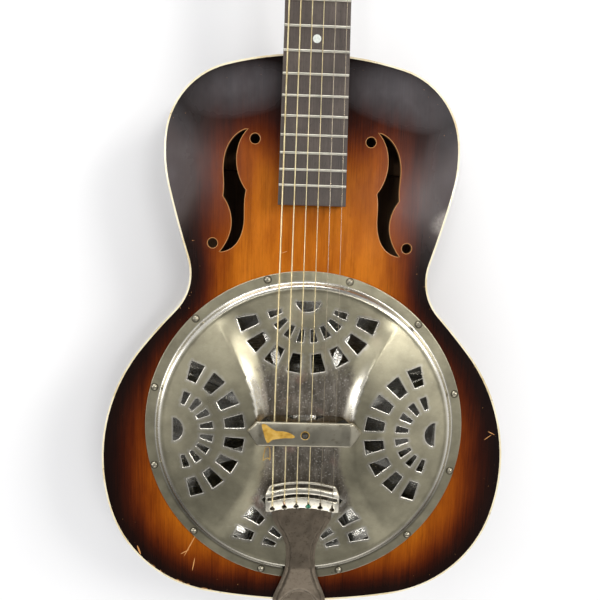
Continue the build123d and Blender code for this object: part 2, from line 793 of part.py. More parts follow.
def make_plate_screws():
    screw = round_head_screw(2.2, 1.4, 0.95, 7)
    back = -HEAD_THICK - TUNER_PLATE
    return [HEAD_PLANE * Pos(u, v, back) * Rot(180, 0, 0) * screw for u, v in plate_screw_places()]


def make_bushings():
    bushings = []
    for index in range(6):
        _, u, v = tuner_place(index)
        collar = disc(POST_RADIUS + 1.6, VENEER - 6, VENEER + 0.8, u, v)
        collar += disc(5.6, VENEER, VENEER + 0.8, u, v)
        bushings.append(HEAD_PLANE * (collar - disc(POST_RADIUS + RUN_CLEARANCE, -20, 9, u, v)))
    return bushings


def make_post(index):
    """A string post with a waisted winding length and a cross hole."""
    _, u, v = tuner_place(index)
    shoulder = WORM_W + GEAR_THICK / 2
    top = 16.0
    profile = [
        (0, WORM_W - GEAR_THICK / 2),
        (1.6, WORM_W - GEAR_THICK / 2),
        (1.6, shoulder),
        (POST_RADIUS, shoulder),
        (POST_RADIUS, 5.0),
        (POST_RADIUS - 0.4, 6.0),
        (POST_RADIUS - 0.4, 12.0),
        (POST_RADIUS, 13.0),
        (POST_RADIUS, top - 0.6),
        (POST_RADIUS - 0.6, top),
        (0, top),
    ]
    hole = Pos(0, 0, 11.6) * Rot(0, 90, 0) * Cylinder(0.8, 20)
    return HEAD_PLANE * Pos(u, v, 0) * (revolved(profile) - hole)


COIL_LOW = 6.6
COIL_GAP = 0.08


def post_coil(index):
    """Where a string meets its post, and its turns as touching rings."""
    side, u, v = tuner_place(index)
    radius = STRING_RADII[index]
    reach = POST_RADIUS - 0.4 + COIL_GAP + radius
    turns = 2 if radius > 0.4 else 3
    rings = [
        HEAD_PLANE * Pos(u, v, COIL_LOW + radius + 1.9 * radius * i) * Torus(reach, radius)
        for i in range(turns)
    ]
    top = COIL_LOW + radius + 1.9 * radius * (turns - 1)
    touch = HEAD_PLANE.from_local_coords(Vector(u - side * reach, v, top))
    return touch, rings


def gear_tooth():
    """One slanted tooth on +Y, as wide as the worm's thread leaves room for."""
    root = GEAR_RADIUS - 0.8
    tip = GEAR_RADIUS + 0.5
    half_root = 0.38 + 0.8 * tan(radians(20))
    half_tip = 0.38 - 0.5 * tan(radians(20))
    foot = root - 0.3
    shape = Polyline((-half_root, foot), (half_root, foot), (half_tip, tip), (-half_tip, tip), close=True)
    bare = extrude(make_face(shape), 3, both=True)
    return Rot(0, -LEAD_ANGLE, 0) * bare


def make_gear(index):
    """The post's gear and the screw that holds it on."""
    _, u, v = tuner_place(index)
    blank = disc(GEAR_RADIUS - 0.8, -GEAR_THICK / 2, GEAR_THICK / 2)
    tooth = gear_tooth() & bar((-9, 9), (-9, 9), (-GEAR_THICK / 2, GEAR_THICK / 2))
    for i in range(GEAR_TEETH):
        blank += Rot(0, 0, (i + 0.5) * 360 / GEAR_TEETH) * tooth
    blank -= disc(1.62, -9, 9)
    screw = disc(2.6, -GEAR_THICK / 2 - 1.5, -GEAR_THICK / 2 - 0.02)
    screw -= bar((-5, 5), (-0.3, 0.3), (-GEAR_THICK, -GEAR_THICK / 2 - 0.9))
    return [HEAD_PLANE * Pos(u, v, WORM_W) * piece for piece in (blank, screw)]


def worm_thread():
    """The worm's helical thread along Z, about the origin."""
    root = WORM_RADIUS - 0.8
    tip = WORM_RADIUS + 0.5
    half_root = 0.38 + 0.8 * tan(radians(20))
    half_tip = 0.38 - 0.5 * tan(radians(20))
    length = 4 * TOOTH_PITCH
    path = Pos(0, 0, -length / 2) * Helix(TOOTH_PITCH, length, root)
    rise = tip - root
    shape = Polyline((-0.1, -half_root), (rise, -half_tip), (rise, half_tip), (-0.1, half_root), close=True)
    frame = Plane(origin=path @ 0, x_dir=(1, 0, 0), z_dir=path % 0)
    thread = sweep(frame * make_face(shape), path=path, is_frenet=True)
    return thread & disc(tip + 1, -length / 2, length / 2)


def make_worm(index):
    """The worm, its thread and its shaft out to the button."""
    _, u, _ = tuner_place(index)
    shaft_end = 46.0 - abs(u)
    core = disc(WORM_RADIUS - 0.8, -4.6, 4.6) + disc(1.6, -7.0, shaft_end)
    worm = core + worm_thread()
    return worm_place(index) * Rot(0, 0, -90) * worm


def worm_place(index):
    """Puts +Z of a turned piece along the worm's axis, pointing off the head."""
    side, u, v = tuner_place(index)
    return HEAD_PLANE * Pos(u, worm_v(v), WORM_W) * Rot(0, side * 90, 0)


def make_button(index):
    """The flat oval button, on a ferrule at the end of the worm's shaft."""
    _, u, _ = tuner_place(index)
    start = 38.5 - abs(u)
    body = prism(Ellipse(4.0, 8.0), start + 2, start + 12)
    body = fillet(body.edges(), 1.6)
    collar = disc(3.0, start, start + 3)
    return worm_place(index) * (body + collar - disc(1.62, start - 1, 46.02 - abs(u)))


# --------------------------------------------------------------------- writing
def save(name, shape):
    pieces = shape if isinstance(shape, list) else [shape]
    solids = [solid for piece in pieces for solid in piece.solids()]
    model = solids[0] if len(solids) == 1 else Compound(children=solids)
    model.label = name
    export_step(model, f"parts/{name}.step")


def main():
    os.makedirs("parts", exist_ok=True)
    bass_side, treble_side = make_sides()
    top_linings, back_linings = reversed(make_linings())
    save("soundboard", make_soundboard())
    save("back", make_back())
    save("bass_side", bass_side)
    save("treble_side", treble_side)
    save("neck_block", make_block(NECK_BLOCK, [dovetail(0.15)]))
    save("tail_block", make_block(TAIL_BLOCK, tail_drillings(3.6, 1.35)))
    save("top_linings", top_linings)
    save("back_linings", back_linings)
    save("top_binding", make_binding(TOP_Z - BINDING_DEPTH, TOP_Z))
    save("back_binding", make_binding(0, BINDING_DEPTH))
    save("braces", make_braces())
    save("soundwell", make_soundwell())
    save("resonator_cone", make_cone())
    save("spider", make_spider())
    save("saddles", make_saddles())
    save("tension_screw", make_tension_screw())
    save("coverplate", make_coverplate())
    save("palm_rest", make_palm_rest())
    save("coverplate_screws", make_cover_screws())
    save("tailpiece_strap", make_strap())
    save("tailpiece_comb", make_comb())
    save("tailpiece_screws", make_tail_screws())
    save("end_pin", make_end_pin())
    save("neck", make_neck())
    save("fingerboard", make_fingerboard())
    save("frets", make_frets())
    save("fingerboard_dots", make_dots())
    save("nut", make_nut())
    save("headstock_veneer", make_veneer())
    strings = [make_string(i) for i in range(6)]
    save("wound_strings", strings[:WOUND_COUNT])
    save("plain_strings", strings[WOUND_COUNT:])
    save("bass_tuner_plate", make_tuner_plate(-1))
    save("treble_tuner_plate", make_tuner_plate(1))
    save("tuner_plate_screws", make_plate_screws())
    save("tuner_bushings", make_bushings())
    for index in range(6):
        number = 6 - index
        save(f"tuner_post_{number}", make_post(index))
        save(f"tuner_gear_{number}", make_gear(index))
        save(f"tuner_worm_{number}", make_worm(index))
        save(f"tuner_button_{number}", make_button(index))


main()
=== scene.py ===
from math import cos, pi, radians, sin

import bmesh
import bpy
import numpy as np
from mathutils import Matrix, Vector
from mathutils.geometry import delaunay_2d_cdt
from mathutils.kdtree import KDTree


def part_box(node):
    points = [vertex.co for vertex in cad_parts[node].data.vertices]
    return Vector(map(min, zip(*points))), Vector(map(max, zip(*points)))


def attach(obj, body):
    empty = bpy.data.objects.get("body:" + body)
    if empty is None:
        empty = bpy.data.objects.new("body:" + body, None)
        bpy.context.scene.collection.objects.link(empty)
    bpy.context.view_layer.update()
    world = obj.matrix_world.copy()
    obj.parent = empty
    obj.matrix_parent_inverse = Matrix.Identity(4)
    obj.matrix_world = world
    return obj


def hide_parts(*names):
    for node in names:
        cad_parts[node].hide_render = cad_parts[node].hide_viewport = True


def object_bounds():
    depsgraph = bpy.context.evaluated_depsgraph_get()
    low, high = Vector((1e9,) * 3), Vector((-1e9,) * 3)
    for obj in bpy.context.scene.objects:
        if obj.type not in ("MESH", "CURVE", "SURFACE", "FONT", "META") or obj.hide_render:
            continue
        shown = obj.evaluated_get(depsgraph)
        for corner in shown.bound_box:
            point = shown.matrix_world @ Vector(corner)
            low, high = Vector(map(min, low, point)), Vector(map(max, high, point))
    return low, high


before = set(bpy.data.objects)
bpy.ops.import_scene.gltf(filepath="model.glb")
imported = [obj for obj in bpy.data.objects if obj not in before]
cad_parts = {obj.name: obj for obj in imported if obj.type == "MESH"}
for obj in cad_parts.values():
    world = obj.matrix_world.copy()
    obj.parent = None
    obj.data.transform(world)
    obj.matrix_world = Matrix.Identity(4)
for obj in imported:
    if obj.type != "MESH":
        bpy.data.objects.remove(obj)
CAD_BOX = [list(corner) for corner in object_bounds()]

# Lengths are in millimetres, in the row frame, and become metres in the meshes.
MM = 0.001
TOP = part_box("soundboard")[1].z / MM
TOP_SHEET = (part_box("soundboard")[1].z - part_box("soundboard")[0].z) / MM
COVER_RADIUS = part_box("coverplate")[1].x / MM
PALM_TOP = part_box("palm_rest")[1].z / MM
COMB_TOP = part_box("tailpiece_comb")[1].z / MM

# ------------------------------------------------------------- plan outlines


def arc(radius, first, last, centre=(0.0, 0.0), steps=24):
    """Points on an arc, from one angle to another in degrees."""
    angles = np.radians(np.linspace(first, last, steps + 1))
    return [(centre[0] + radius * cos(a), centre[1] + radius * sin(a)) for a in angles]


def ring(radius, centre=(0.0, 0.0), steps=48):
    return arc(radius, 0.0, 360.0, centre, steps)[:-1]


def rounded(corners, radius, steps=5):
    """A closed outline whose corners are rounded: one radius, or one for each corner."""
    radii = radius if hasattr(radius, "__len__") else [radius] * len(corners)
    points = []
    for i, corner in enumerate(corners):
        here = Vector(corner)
        back = Vector(corners[i - 1]) - here
        on = Vector(corners[(i + 1) % len(corners)]) - here
        half = back.angle(on) / 2
        reach = min(radii[i] / np.tan(half), 0.49 * back.length, 0.49 * on.length)
        start, end = here + back.normalized() * reach, here + on.normalized() * reach
        for t in np.linspace(0, 1, steps + 1):
            points.append(tuple(start.lerp(here, t).lerp(here.lerp(end, t), t)))
    return points


def smooth(points, steps=6):
    """A closed curve through the points, with no corners."""
    p = np.array(points, float)
    before, after, later = np.roll(p, 1, 0), np.roll(p, -1, 0), np.roll(p, -2, 0)
    found = []
    for t in np.arange(steps) / steps:
        a = 2 * p + (after - before) * t
        b = (2 * before - 5 * p + 4 * after - later) * t ** 2
        c = (3 * p - before - 3 * after + later) * t ** 3
        found.append((a + b + c) / 2)
    return [tuple(q) for q in np.stack(found, 1).reshape(-1, 2)]


def turned(points, angle):
    """Points turned about the origin, in degrees."""
    c, s = cos(radians(angle)), sin(radians(angle))
    return [(x * c - y * s, x * s + y * c) for x, y in points]


def split_long(loop, longest):
    """The same outline with points added along its long edges."""
    points = []
    for a, b in zip(loop, loop[1:] + loop[:1]):
        count = max(1, int(np.hypot(b[0] - a[0], b[1] - a[1]) / longest + 0.999))
        points += [tuple(np.array(a) + (np.array(b) - a) * k / count) for k in range(count)]
    return points


def inside(points, loops):
    """Which points lie inside an odd number of the loops."""
    x, y = points[:, :1], points[:, 1:]
    odd = np.zeros(len(points), bool)
    for loop in loops:
        a = np.array(loop, float)
        b = np.roll(a, -1, 0)
        rises = (a[:, 1] > y) != (b[:, 1] > y)
        with np.errstate(divide="ignore", invalid="ignore"):
            cut = (b[:, 0] - a[:, 0]) * (y - a[:, 1]) / (b[:, 1] - a[:, 1]) + a[:, 0]
        odd ^= (rises & (x < cut)).sum(1) % 2 == 1
    return odd


def gap_to(points, loops):
    """The distance from each point to the nearest of the loops."""
    a = np.concatenate([np.array(loop, float) for loop in loops])
    b = np.concatenate([np.roll(np.array(loop, float), -1, 0) for loop in loops])
    step = b - a
    square = np.maximum((step ** 2).sum(1), 1e-12)
    found = []
    for part in np.array_split(points, max(1, len(points) // 400)):
        away = part[:, None] - a
        t = np.clip((away * step).sum(2) / square, 0, 1)
        found.append(np.sqrt((away - step * t[..., None]) ** 2 @ np.ones(2)).min(1))
    return np.concatenate(found)


def sides_of(loop, is_hole):
    """Unit vectors that point off the sheet at each point of its rim."""
    p = np.array(loop, float)
    along = np.roll(p, -1, 0) - np.roll(p, 1, 0)
    side = np.stack([along[:, 1], -along[:, 0]], 1)
    side /= np.maximum(np.hypot(*side.T), 1e-9)[:, None]
    area = (p[:, 0] * np.roll(p[:, 1], -1) - np.roll(p[:, 0], -1) * p[:, 1]).sum()
    return side if (area > 0) != is_hole else -side


# -------------------------------------------------------------- mesh making


def put_object(name, data):
    made = bpy.data.objects.new(name, data)
    bpy.context.scene.collection.objects.link(made)
    return made


def put_mesh(name, points, faces, materials, sharp=35.0):
    """A new object from points in millimetres. Edges steeper than sharp degrees stay crisp."""
    mesh = bpy.data.meshes.new(name)
    mesh.from_pydata([tuple(MM * c for c in p) for p in points], [], faces)
    mesh.validate()
    for material in materials:
        mesh.materials.append(material)
    mesh.shade_smooth()
    mesh.set_sharp_from_angle(angle=radians(sharp))
    return put_object(name, mesh)


def colour_points(made, name, values):
    """Stores a number for each point of the mesh, for its material to read.
    A sheet's values are given once, for its upper points, and serve its lower ones too."""
    repeats = len(made.data.vertices) // len(values)
    attribute = made.data.attributes.new(name, "FLOAT", "POINT")
    attribute.data.foreach_set("value", np.tile(np.array(values, np.float32), repeats))


def plan_triangles(loops, rims, spacing):
    """Points and triangles that fill the space between the rims. Edges follow every loop.
    Also says which point of the loops each point is, or -1."""
    points, edges = [], []
    for loop in loops:
        start = len(points)
        points += [tuple(p) for p in loop]
        edges += [(start + i, start + (i + 1) % len(loop)) for i in range(len(loop))]
    low, high = np.min(rims[0], 0), np.max(rims[0], 0)
    grid = np.array([
        (x + spacing / 2 * (i % 2), y)
        for i, y in enumerate(np.arange(low[1], high[1], spacing * 0.866))
        for x in np.arange(low[0], high[0], spacing)
    ])
    grid = grid[inside(grid, rims)]
    tree = KDTree(len(points))
    for i, p in enumerate(points):
        tree.insert((p[0], p[1], 0), i)
    tree.balance()
    grid = [p for p in grid if tree.find((p[0], p[1], 0))[2] > 0.5 * spacing]
    every = [Vector(p) for p in points] + [Vector(p) for p in grid]
    found, _, faces, sources = delaunay_2d_cdt(every, edges, [], 0, 1e-5)[:4]
    found = np.array([tuple(p) for p in found])
    faces = np.array([tuple(f) for f in faces])
    origin = np.array([min(source) if source and min(source) < len(points) else -1 for source in sources])
    a, b, c = found[faces[:, 0]], found[faces[:, 1]], found[faces[:, 2]]
    turn = (b[:, 0] - a[:, 0]) * (c[:, 1] - a[:, 1]) - (b[:, 1] - a[:, 1]) * (c[:, 0] - a[:, 0])
    faces[turn < 0] = faces[turn < 0][:, ::-1]
    return found, faces[inside(found[faces].mean(1), rims)], origin


def slopes(top, x, y):
    """Upward normals of a surface given by its height."""
    reach = 0.05
    across = (top(x + reach, y) - top(x - reach, y)) / (2 * reach)
    along = (top(x, y + reach) - top(x, y - reach)) / (2 * reach)
    return np.stack([-across, -along, np.ones_like(x)], 1)


LIP_ROWS = (0.0, 0.08, 0.3, 0.65, 1.0)


def stamped(name, outline, holes, top, thickness, materials, spacing, lip=0.0, lines=(), paint=None):
    """A piece of sheet: its plan, the height of its face at each place, and its thickness.
    lip rounds the face's edges over. paint picks the material of each face from its middle."""
    rims = [outline] + list(holes)
    loops, share, lean = [], [], []
    for row in LIP_ROWS if lip else (0.0,):
        for number, rim in enumerate(rims):
            side = sides_of(rim, number > 0)
            loops.append(np.array(rim) - side * lip * row)
            share += [row if lip else 1.0] * len(rim)
            lean += list(side)
    for line in lines:
        loops.append(np.array(line))
        share += [1.0] * len(line)
        lean += [(0.0, 0.0)] * len(line)
    share, lean = np.array(share + [1.0]), np.array(lean + [(0.0, 0.0)])
    xy, faces, origin = plan_triangles(loops, rims, spacing)
    share, lean = share[origin], lean[origin]
    x, y = xy[:, 0], xy[:, 1]
    round_off = np.sqrt(1 - (1 - share) ** 2)
    height = top(x, y) - lip * (1 - round_off)
    count = len(xy)
    points = np.concatenate([np.c_[xy, height], np.c_[xy, top(x, y) - thickness]])
    edges = {(int(f[i]), int(f[(i + 1) % 3])) for f in faces for i in range(3)}
    rim = sorted((i, j) for i, j in edges if (j, i) not in edges)
    walls = [(i, i + count, j + count, j) for i, j in rim]
    shape = [tuple(map(int, f)) for f in faces] + [tuple(int(i) + count for i in f[::-1]) for f in faces]
    made = put_mesh(name, points, shape + walls, materials)
    face_up = slopes(top, x, y)
    steep = np.minimum((1 - share) / np.maximum(round_off, 0.2), 4.0)
    upper = face_up + np.c_[lean * steep[:, None], np.zeros(count)]
    off = np.c_[lean, np.zeros(count)]
    normals = [upper[i] for f in faces for i in f] + [-face_up[i] for f in faces for i in f[::-1]]
    normals += [off[i] for pair in rim for i in (pair[0], pair[0], pair[1], pair[1])]
    normals = np.array(normals)
    lengths = np.linalg.norm(normals, axis=1)[:, None]
    normals = normals / np.where(lengths > 0, lengths, 1.0)  # a zero normal keeps the mesh's own
    made.data.normals_split_custom_set(normals.tolist())
    if paint:
        picked = paint(xy[faces].mean(1), len(walls))
        made.data.polygons.foreach_set("material_index", np.array(picked, np.int32))
    return made, xy


def swept(name, rows, materials, sharp=35.0):
    """A closed skin over rows of points, each row a closed loop of the same length."""
    count = len(rows[0])
    last = (len(rows) - 1) * count
    points = [p for row in rows for p in row]
    faces = []
    for start in range(0, last, count):
        for j in range(count):
            k = (j + 1) % count
            faces.append((start + j, start + k, start + count + k, start + count + j))
    faces += [tuple(reversed(range(count))), tuple(range(last, last + count))]
    return put_mesh(name, points, faces, materials, sharp)


def stand_for(made, node):
    """The new piece takes a CAD node's place."""
    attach(made, "root")
    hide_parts(node)
    return made


# ---------------------------------------------------------------- materials


def srgb(red, green, blue):
    """A screen colour, 0 to 255, as the linear colour that shaders take."""
    shares = [c / 255 for c in (red, green, blue)]
    return tuple(((c + 0.055) / 1.055) ** 2.4 if c > 0.04 else c / 12.92 for c in shares) + (1.0,)


def fill_socket(tree, socket, value):
    """Gives a socket a value, or links it to another node."""
    if isinstance(value, bpy.types.NodeSocket):
        tree.links.new(value, socket)
    else:
        socket.default_value = value


def add_node(tree, kind, inputs, **settings):
    made = tree.nodes.new("ShaderNode" + kind)
    for key, value in settings.items():
        setattr(made, key, value)
    for key, value in inputs.items():
        fill_socket(tree, made.inputs[key], value)
    return made


class Finish:
    """A material built up node by node. Sizes are in millimetres."""

    def __init__(self, name, roughness, metallic=0.0, colour=(0, 0, 0, 1), **others):
        self.material = bpy.data.materials.new(name)
        self.material.use_nodes = True
        self.tree = self.material.node_tree
        self.shader = self.tree.nodes["Principled BSDF"]
        self.set("Base Color", colour)
        self.set("Roughness", roughness)
        self.set("Metallic", metallic)
        for socket, value in others.items():
            self.set(socket.replace("_", " "), value)
        self.place = self.node("TexCoord", {}).outputs["Object"]

    def set(self, socket, value):
        fill_socket(self.tree, self.shader.inputs[socket], value)

    def node(self, kind, inputs, **settings):
        return add_node(self.tree, kind, inputs, **settings)

    def noise(self, size, stretch=1, detail=3.0, rough=0.5, shift=0.0):
        """Noise, about 0.5 on average, whose spots are size across, and longer along Y by stretch.
        A tuple stretches them along X, Y and Z."""
        stretches = stretch if isinstance(stretch, tuple) else (1, stretch, 1)
        scale = tuple(1000 / (size * s) for s in stretches)
        spot = self.node("Mapping", {"Vector": self.place, "Location": (shift,) * 3, "Scale": scale})
        inputs = {"Vector": spot.outputs[0], "Scale": 1.0, "Detail": detail, "Roughness": rough}
        return self.node("TexNoise", inputs).outputs["Fac"]

    def math(self, operation, a, b=0.0, c=0.0, clamp=False):
        made = self.node("Math", {0: a, 1: b, 2: c}, operation=operation, use_clamp=clamp)
        return made.outputs[0]

    def times(self, a, b):
        return self.math("MULTIPLY", a, b)

    def plus(self, a, b, clamp=False):
        return self.math("ADD", a, b, clamp=clamp)

    def minus(self, a, b, clamp=False):
        return self.math("SUBTRACT", a, b, clamp=clamp)

    def most(self, a, b):
        return self.math("MAXIMUM", a, b)

    def ramp(self, factor, stops):
        """A screen colour or a grey for each factor, between the stops."""
        made = self.node("ValToRGB", {0: factor})
        band = made.color_ramp
        band.interpolation = "LINEAR"
        while len(band.elements) < len(stops):
            band.elements.new(0.5)
        for element, (position, colour) in zip(band.elements, stops):
            element.position = position
            element.color = srgb(*colour) if isinstance(colour, tuple) else (colour,) * 3 + (1.0,)
        return made.outputs["Color"]

    def step(self, value, low, high):
        """0 below low, 1 above high, and smooth between. It falls where high is below low."""
        inputs = {"Value": value, "From Min": low, "From Max": high}
        return self.node("MapRange", inputs, interpolation_type="SMOOTHSTEP").outputs[0]

    def span(self, value, low, high, to_low, to_high):
        inputs = {"Value": value, "From Min": low, "From Max": high, "To Min": to_low, "To Max": to_high}
        return self.node("MapRange", inputs).outputs[0]

    def mix(self, factor, a, b, blend="MIX"):
        made = self.node("Mix", {0: factor, 6: a, 7: b}, data_type="RGBA", blend_type=blend)
        return made.outputs[2]

    def cover(self, mask, share, tone, colour):
        """A screen colour laid over a tone where the mask is, as thickly as share says."""
        return self.mix(self.times(mask, share), tone, srgb(*colour))

    def read(self, name):
        return self.node("Attribute", {}, attribute_name=name).outputs["Fac"]

    def axis(self, name):
        """A coordinate in millimetres."""
        parts = self.node("SeparateXYZ", {0: self.place})
        return self.times(parts.outputs[name], 1000.0)

    def near(self, x, y, reach_x, reach_y, angle=0.0):
        """1 at a place on the front, fading to 0 at an oval round it."""
        turn = radians(-angle)
        across, along = self.minus(self.axis("X"), x), self.minus(self.axis("Y"), y)
        u = self.plus(self.times(across, cos(turn)), self.times(along, -sin(turn)))
        v = self.plus(self.times(across, sin(turn)), self.times(along, cos(turn)))
        u, v = self.math("DIVIDE", u, reach_x), self.math("DIVIDE", v, reach_y)
        return self.minus(1.0, self.plus(self.times(u, u), self.times(v, v)), clamp=True)

    def ovals(self, places):
        """1 at several places on the front, as near() says for each."""
        total = 0.0
        for place in places:
            total = self.most(total, self.near(*place))
        return total

    def bump(self, height, depth):
        """Raises the surface by height times depth."""
        made = self.node("Bump", {"Height": height, "Distance": depth * MM, "Strength": 1.0})
        self.set("Normal", made.outputs[0])


def wood_grain(finish):
    """Fine grain lines from 0 to 1 that run along Y."""
    fine = finish.noise(0.9, 45, 4.0, 0.6)
    broad = finish.noise(7.0, 15, 2.0, 0.5, 3.0)
    return finish.plus(finish.times(fine, 0.65), finish.times(broad, 0.35))


SUNBURST = (
    (0.00, (18, 7, 5)),
    (0.12, (28, 9, 4)),
    (0.24, (52, 16, 3)),
    (0.34, (82, 30, 3)),
    (0.46, (114, 49, 4)),
    (0.60, (144, 71, 7)),
    (0.78, (168, 91, 12)),
    (1.00, (188, 106, 22)),
)


def sunburst_finish(name):
    """Lacquer that darkens towards the body's edge, over straight grain."""
    made = Finish(name, 0.3, Specular_IOR_Level=0.16)
    rim = made.read("rim")
    grain = wood_grain(made)
    cloud = made.noise(60.0, 1.6, 2.0)
    share = made.plus(rim, made.times(made.minus(cloud, 0.5), 0.16))
    share = made.plus(share, made.times(made.minus(grain, 0.5), 0.22), clamp=True)
    colour = made.ramp(share, SUNBURST)
    lines = made.ramp(grain, ((0.30, 0.62), (0.50, 0.95), (0.70, 1.0)))
    colour = made.mix(0.85, colour, lines, "MULTIPLY")
    figure = made.noise(16.0, 3.5, 5.0, 0.6, 23.0)
    figure = made.ramp(figure, ((0.38, (196, 170, 150)), (0.60, 1.0)))
    colour = made.mix(0.6, colour, figure, "MULTIPLY")
    pores = made.ramp(made.noise(0.45, 14, 2.0, 0.5, 8.0), ((0.30, 0.45), (0.40, 1.0)))
    colour = made.mix(0.35, colour, pores, "MULTIPLY")
    return made, colour, grain


def soundboard_finish():
    """The front's lacquer: chipped at the edge, dull and hazy from rubbing on the upper bout, with a painted
    sheen over that hazing and a brighter painted sheen patch on the right.
    """
    made, colour, grain = sunburst_finish("Sunburst_top")
    bare = srgb(198, 142, 86)
    edge = made.read("edge")
    worn = made.step(edge, 1.5, 0.2)
    ragged = made.step(made.noise(5.0, 2.5, 5.0, 0.7, 2.0), 0.50, 0.62)
    places = made.ovals(((-112, -138, 40, 14, -38), (-150, -92, 22, 7, -60),
                         (120, -128, 26, 6, 42), (150, 10, 6, 60, 0)))
    wear = made.times(worn, made.times(ragged, made.step(places, 0.0, 0.3)))
    chips = made.step(made.noise(2.2, 1, 2.0, 0.5, 5.0), 0.755, 0.78)
    near_edge = made.step(edge, 20.0, 3.0)
    chips = made.times(chips, near_edge)
    wear = made.most(wear, made.times(chips, 0.8))
    for x, y, length, width, angle in (
        (170, 0, 4, 0.4, -25), (167, -4, 4.5, 0.35, 38),
        (-101, -112, 14, 0.5, 63), (-98, -131, 7, 0.5, 80), (-106, -119, 5, 0.45, 30),
        (-148, -118, 5, 0.8, -70), (-133, 116, 6, 0.5, 60), (-22, 158, 3, 0.4, 20),
    ):
        scratch = made.step(made.near(x, y, length, width, angle), 0.0, 0.4)
        wear = made.most(wear, scratch)
    arris = made.step(made.read("hole"), 0.65, 0.3)
    wear = made.most(wear, made.times(arris, 0.8))
    colour = made.mix(wear, colour, bare)
    # Pale hazing on the upper bout: partly dull, worn lacquer, partly a painted sheen where lights would
    # reflect.
    rubbed_and_sheen = made.ovals(((145, 215, 50, 95, 8), (-140, 225, 45, 70, -8),
                         (75, 290, 70, 26, -14), (-62, 293, 52, 24, 10)))
    outside = made.ovals(((143, 198, 54, 78, 4), (-140, 212, 52, 74, -4)))
    outside = made.times(made.step(outside, 0.18, 0.62), 0.72)
    colour = made.mix(outside, colour, srgb(62, 50, 46))
    streaks = made.noise(1.2, 22, 5.0, 0.7, 11.0)
    patches = made.noise(26.0, 1.4, 3.0, 0.55, 13.0)
    streaks = made.span(streaks, 0.3, 0.7, 0.85, 1.0)
    worn_off = made.times(streaks, made.span(patches, 0.3, 0.7, 0.45, 1.0))
    haze_and_sheen = made.times(rubbed_and_sheen, made.times(worn_off, 0.25))
    colour = made.mix(haze_and_sheen, colour, srgb(150, 146, 150))
    # A brighter speckled patch on the right of the upper bout is a painted sheen.
    speckle = made.noise(2.2, 1.5, 4.0, 0.7, 17.0)
    speckle = made.span(speckle, 0.35, 0.65, 0.6, 1.0)
    painted_sheen = made.times(made.near(134, 190, 34, 17, 14), speckle)
    painted_sheen = made.times(made.step(painted_sheen, 0.0, 0.9), 0.62)
    made.set("Base Color", made.mix(painted_sheen, colour, srgb(206, 198, 188)))
    cloud = made.noise(25.0, 1, 4.0, 0.6, 1.0)
    rough = made.span(cloud, 0.3, 0.7, 0.17, 0.25)
    made.set("Roughness", made.plus(rough, made.times(rubbed_and_sheen, 0.20)))
    fine = made.times(grain, 0.6)
    made.bump(made.minus(fine, made.times(wear, 0.8)), 0.06)
    return made.material


LACQUER = (
    (0.00, (24, 8, 3)),
    (0.30, (52, 18, 4)),
    (0.60, (98, 42, 6)),
    (1.00, (138, 72, 14)),
)


def lacquer_finish():
    """Dark brown lacquer for the sides, back and neck, lighter in the middle of the back."""
    made = Finish("Dark_lacquer", 0.3,
                  Specular_IOR_Level=0.2, Coat_Weight=0.12, Coat_Roughness=0.1)
    grain = wood_grain(made)
    cloud = made.noise(90.0, 2, 3.0)
    share = made.plus(made.times(grain, 0.28), made.times(cloud, 0.34))
    share = made.plus(share, made.times(made.read("rim"), 0.75))
    colour = made.ramp(made.minus(share, 0.10, clamp=True), LACQUER)
    lines = made.ramp(grain, ((0.30, 0.55), (0.50, 0.95), (0.70, 1.0)))
    colour = made.mix(0.8, colour, lines, "MULTIPLY")
    scuffs = made.step(made.noise(3.0, 1, 5.0, 0.75, 4.0), 0.66, 0.72)
    made.set("Base Color", made.cover(scuffs, 0.35, colour, (120, 74, 40)))
    made.set("Roughness", made.span(made.noise(30.0), 0.3, 0.7, 0.22, 0.36))
    made.bump(grain, 0.05)
    return made.material


def raw_wood(name, dark, light, roughness=0.65):
    """Unvarnished wood with straight grain."""
    made = Finish(name, roughness)
    grain = wood_grain(made)
    made.set("Base Color", made.ramp(grain, ((0.3, dark), (0.65, light))))
    made.bump(grain, 0.12)
    return made.material


def fingerboard_finish():
    """Dyed hardwood, greyed by play, with short open pores."""
    made = Finish("Fingerboard_wood", 0.5, Specular_IOR_Level=0.5)
    grain = wood_grain(made)
    played = made.noise(22.0, 1.5, 4.0, 0.6, 6.0)
    tone = made.plus(made.times(grain, 0.6), made.times(played, 0.4))
    wear = ((0.3, (50, 42, 37)), (0.5, (75, 65, 58)), (0.7, (102, 91, 82)))
    colour = made.ramp(tone, wear)
    pores = made.ramp(made.noise(0.5, 9, 2.0, 0.5, 2.0), ((0.34, 0.35), (0.42, 1.0)))
    # The board is darker towards its end over the body.
    darker_towards_body = made.span(made.axis("Y"), 200.0, 330.0, 0.84, 1.0)
    colour = made.mix(1.0, colour, made.ramp(darker_towards_body, ((0.0, 0.0), (1.0, 1.0))), "MULTIPLY")
    made.set("Base Color", made.mix(0.6, colour, pores, "MULTIPLY"))
    made.set("Roughness", made.span(played, 0.3, 0.7, 0.42, 0.58))
    made.bump(made.mix(0.5, grain, pores, "MULTIPLY"), 0.08)
    return made.material


def binding_finish():
    """Cream celluloid, yellowed and grimy in places."""
    made = Finish("Binding_celluloid", 0.35, Subsurface_Weight=0.05, Coat_Weight=0.2)
    age = made.noise(35.0, 1, 5.0, 0.65)
    creams = ((0.3, (200, 178, 130)), (0.5, (232, 220, 186)), (0.7, (242, 234, 208)))
    colour = made.ramp(age, creams)
    grime = made.step(made.noise(4.0, 1, 5.0, 0.7, 7.0), 0.60, 0.70)
    made.set("Base Color", made.cover(grime, 0.45, colour, (110, 78, 44)))
    made.bump(age, 0.03)
    return made.material


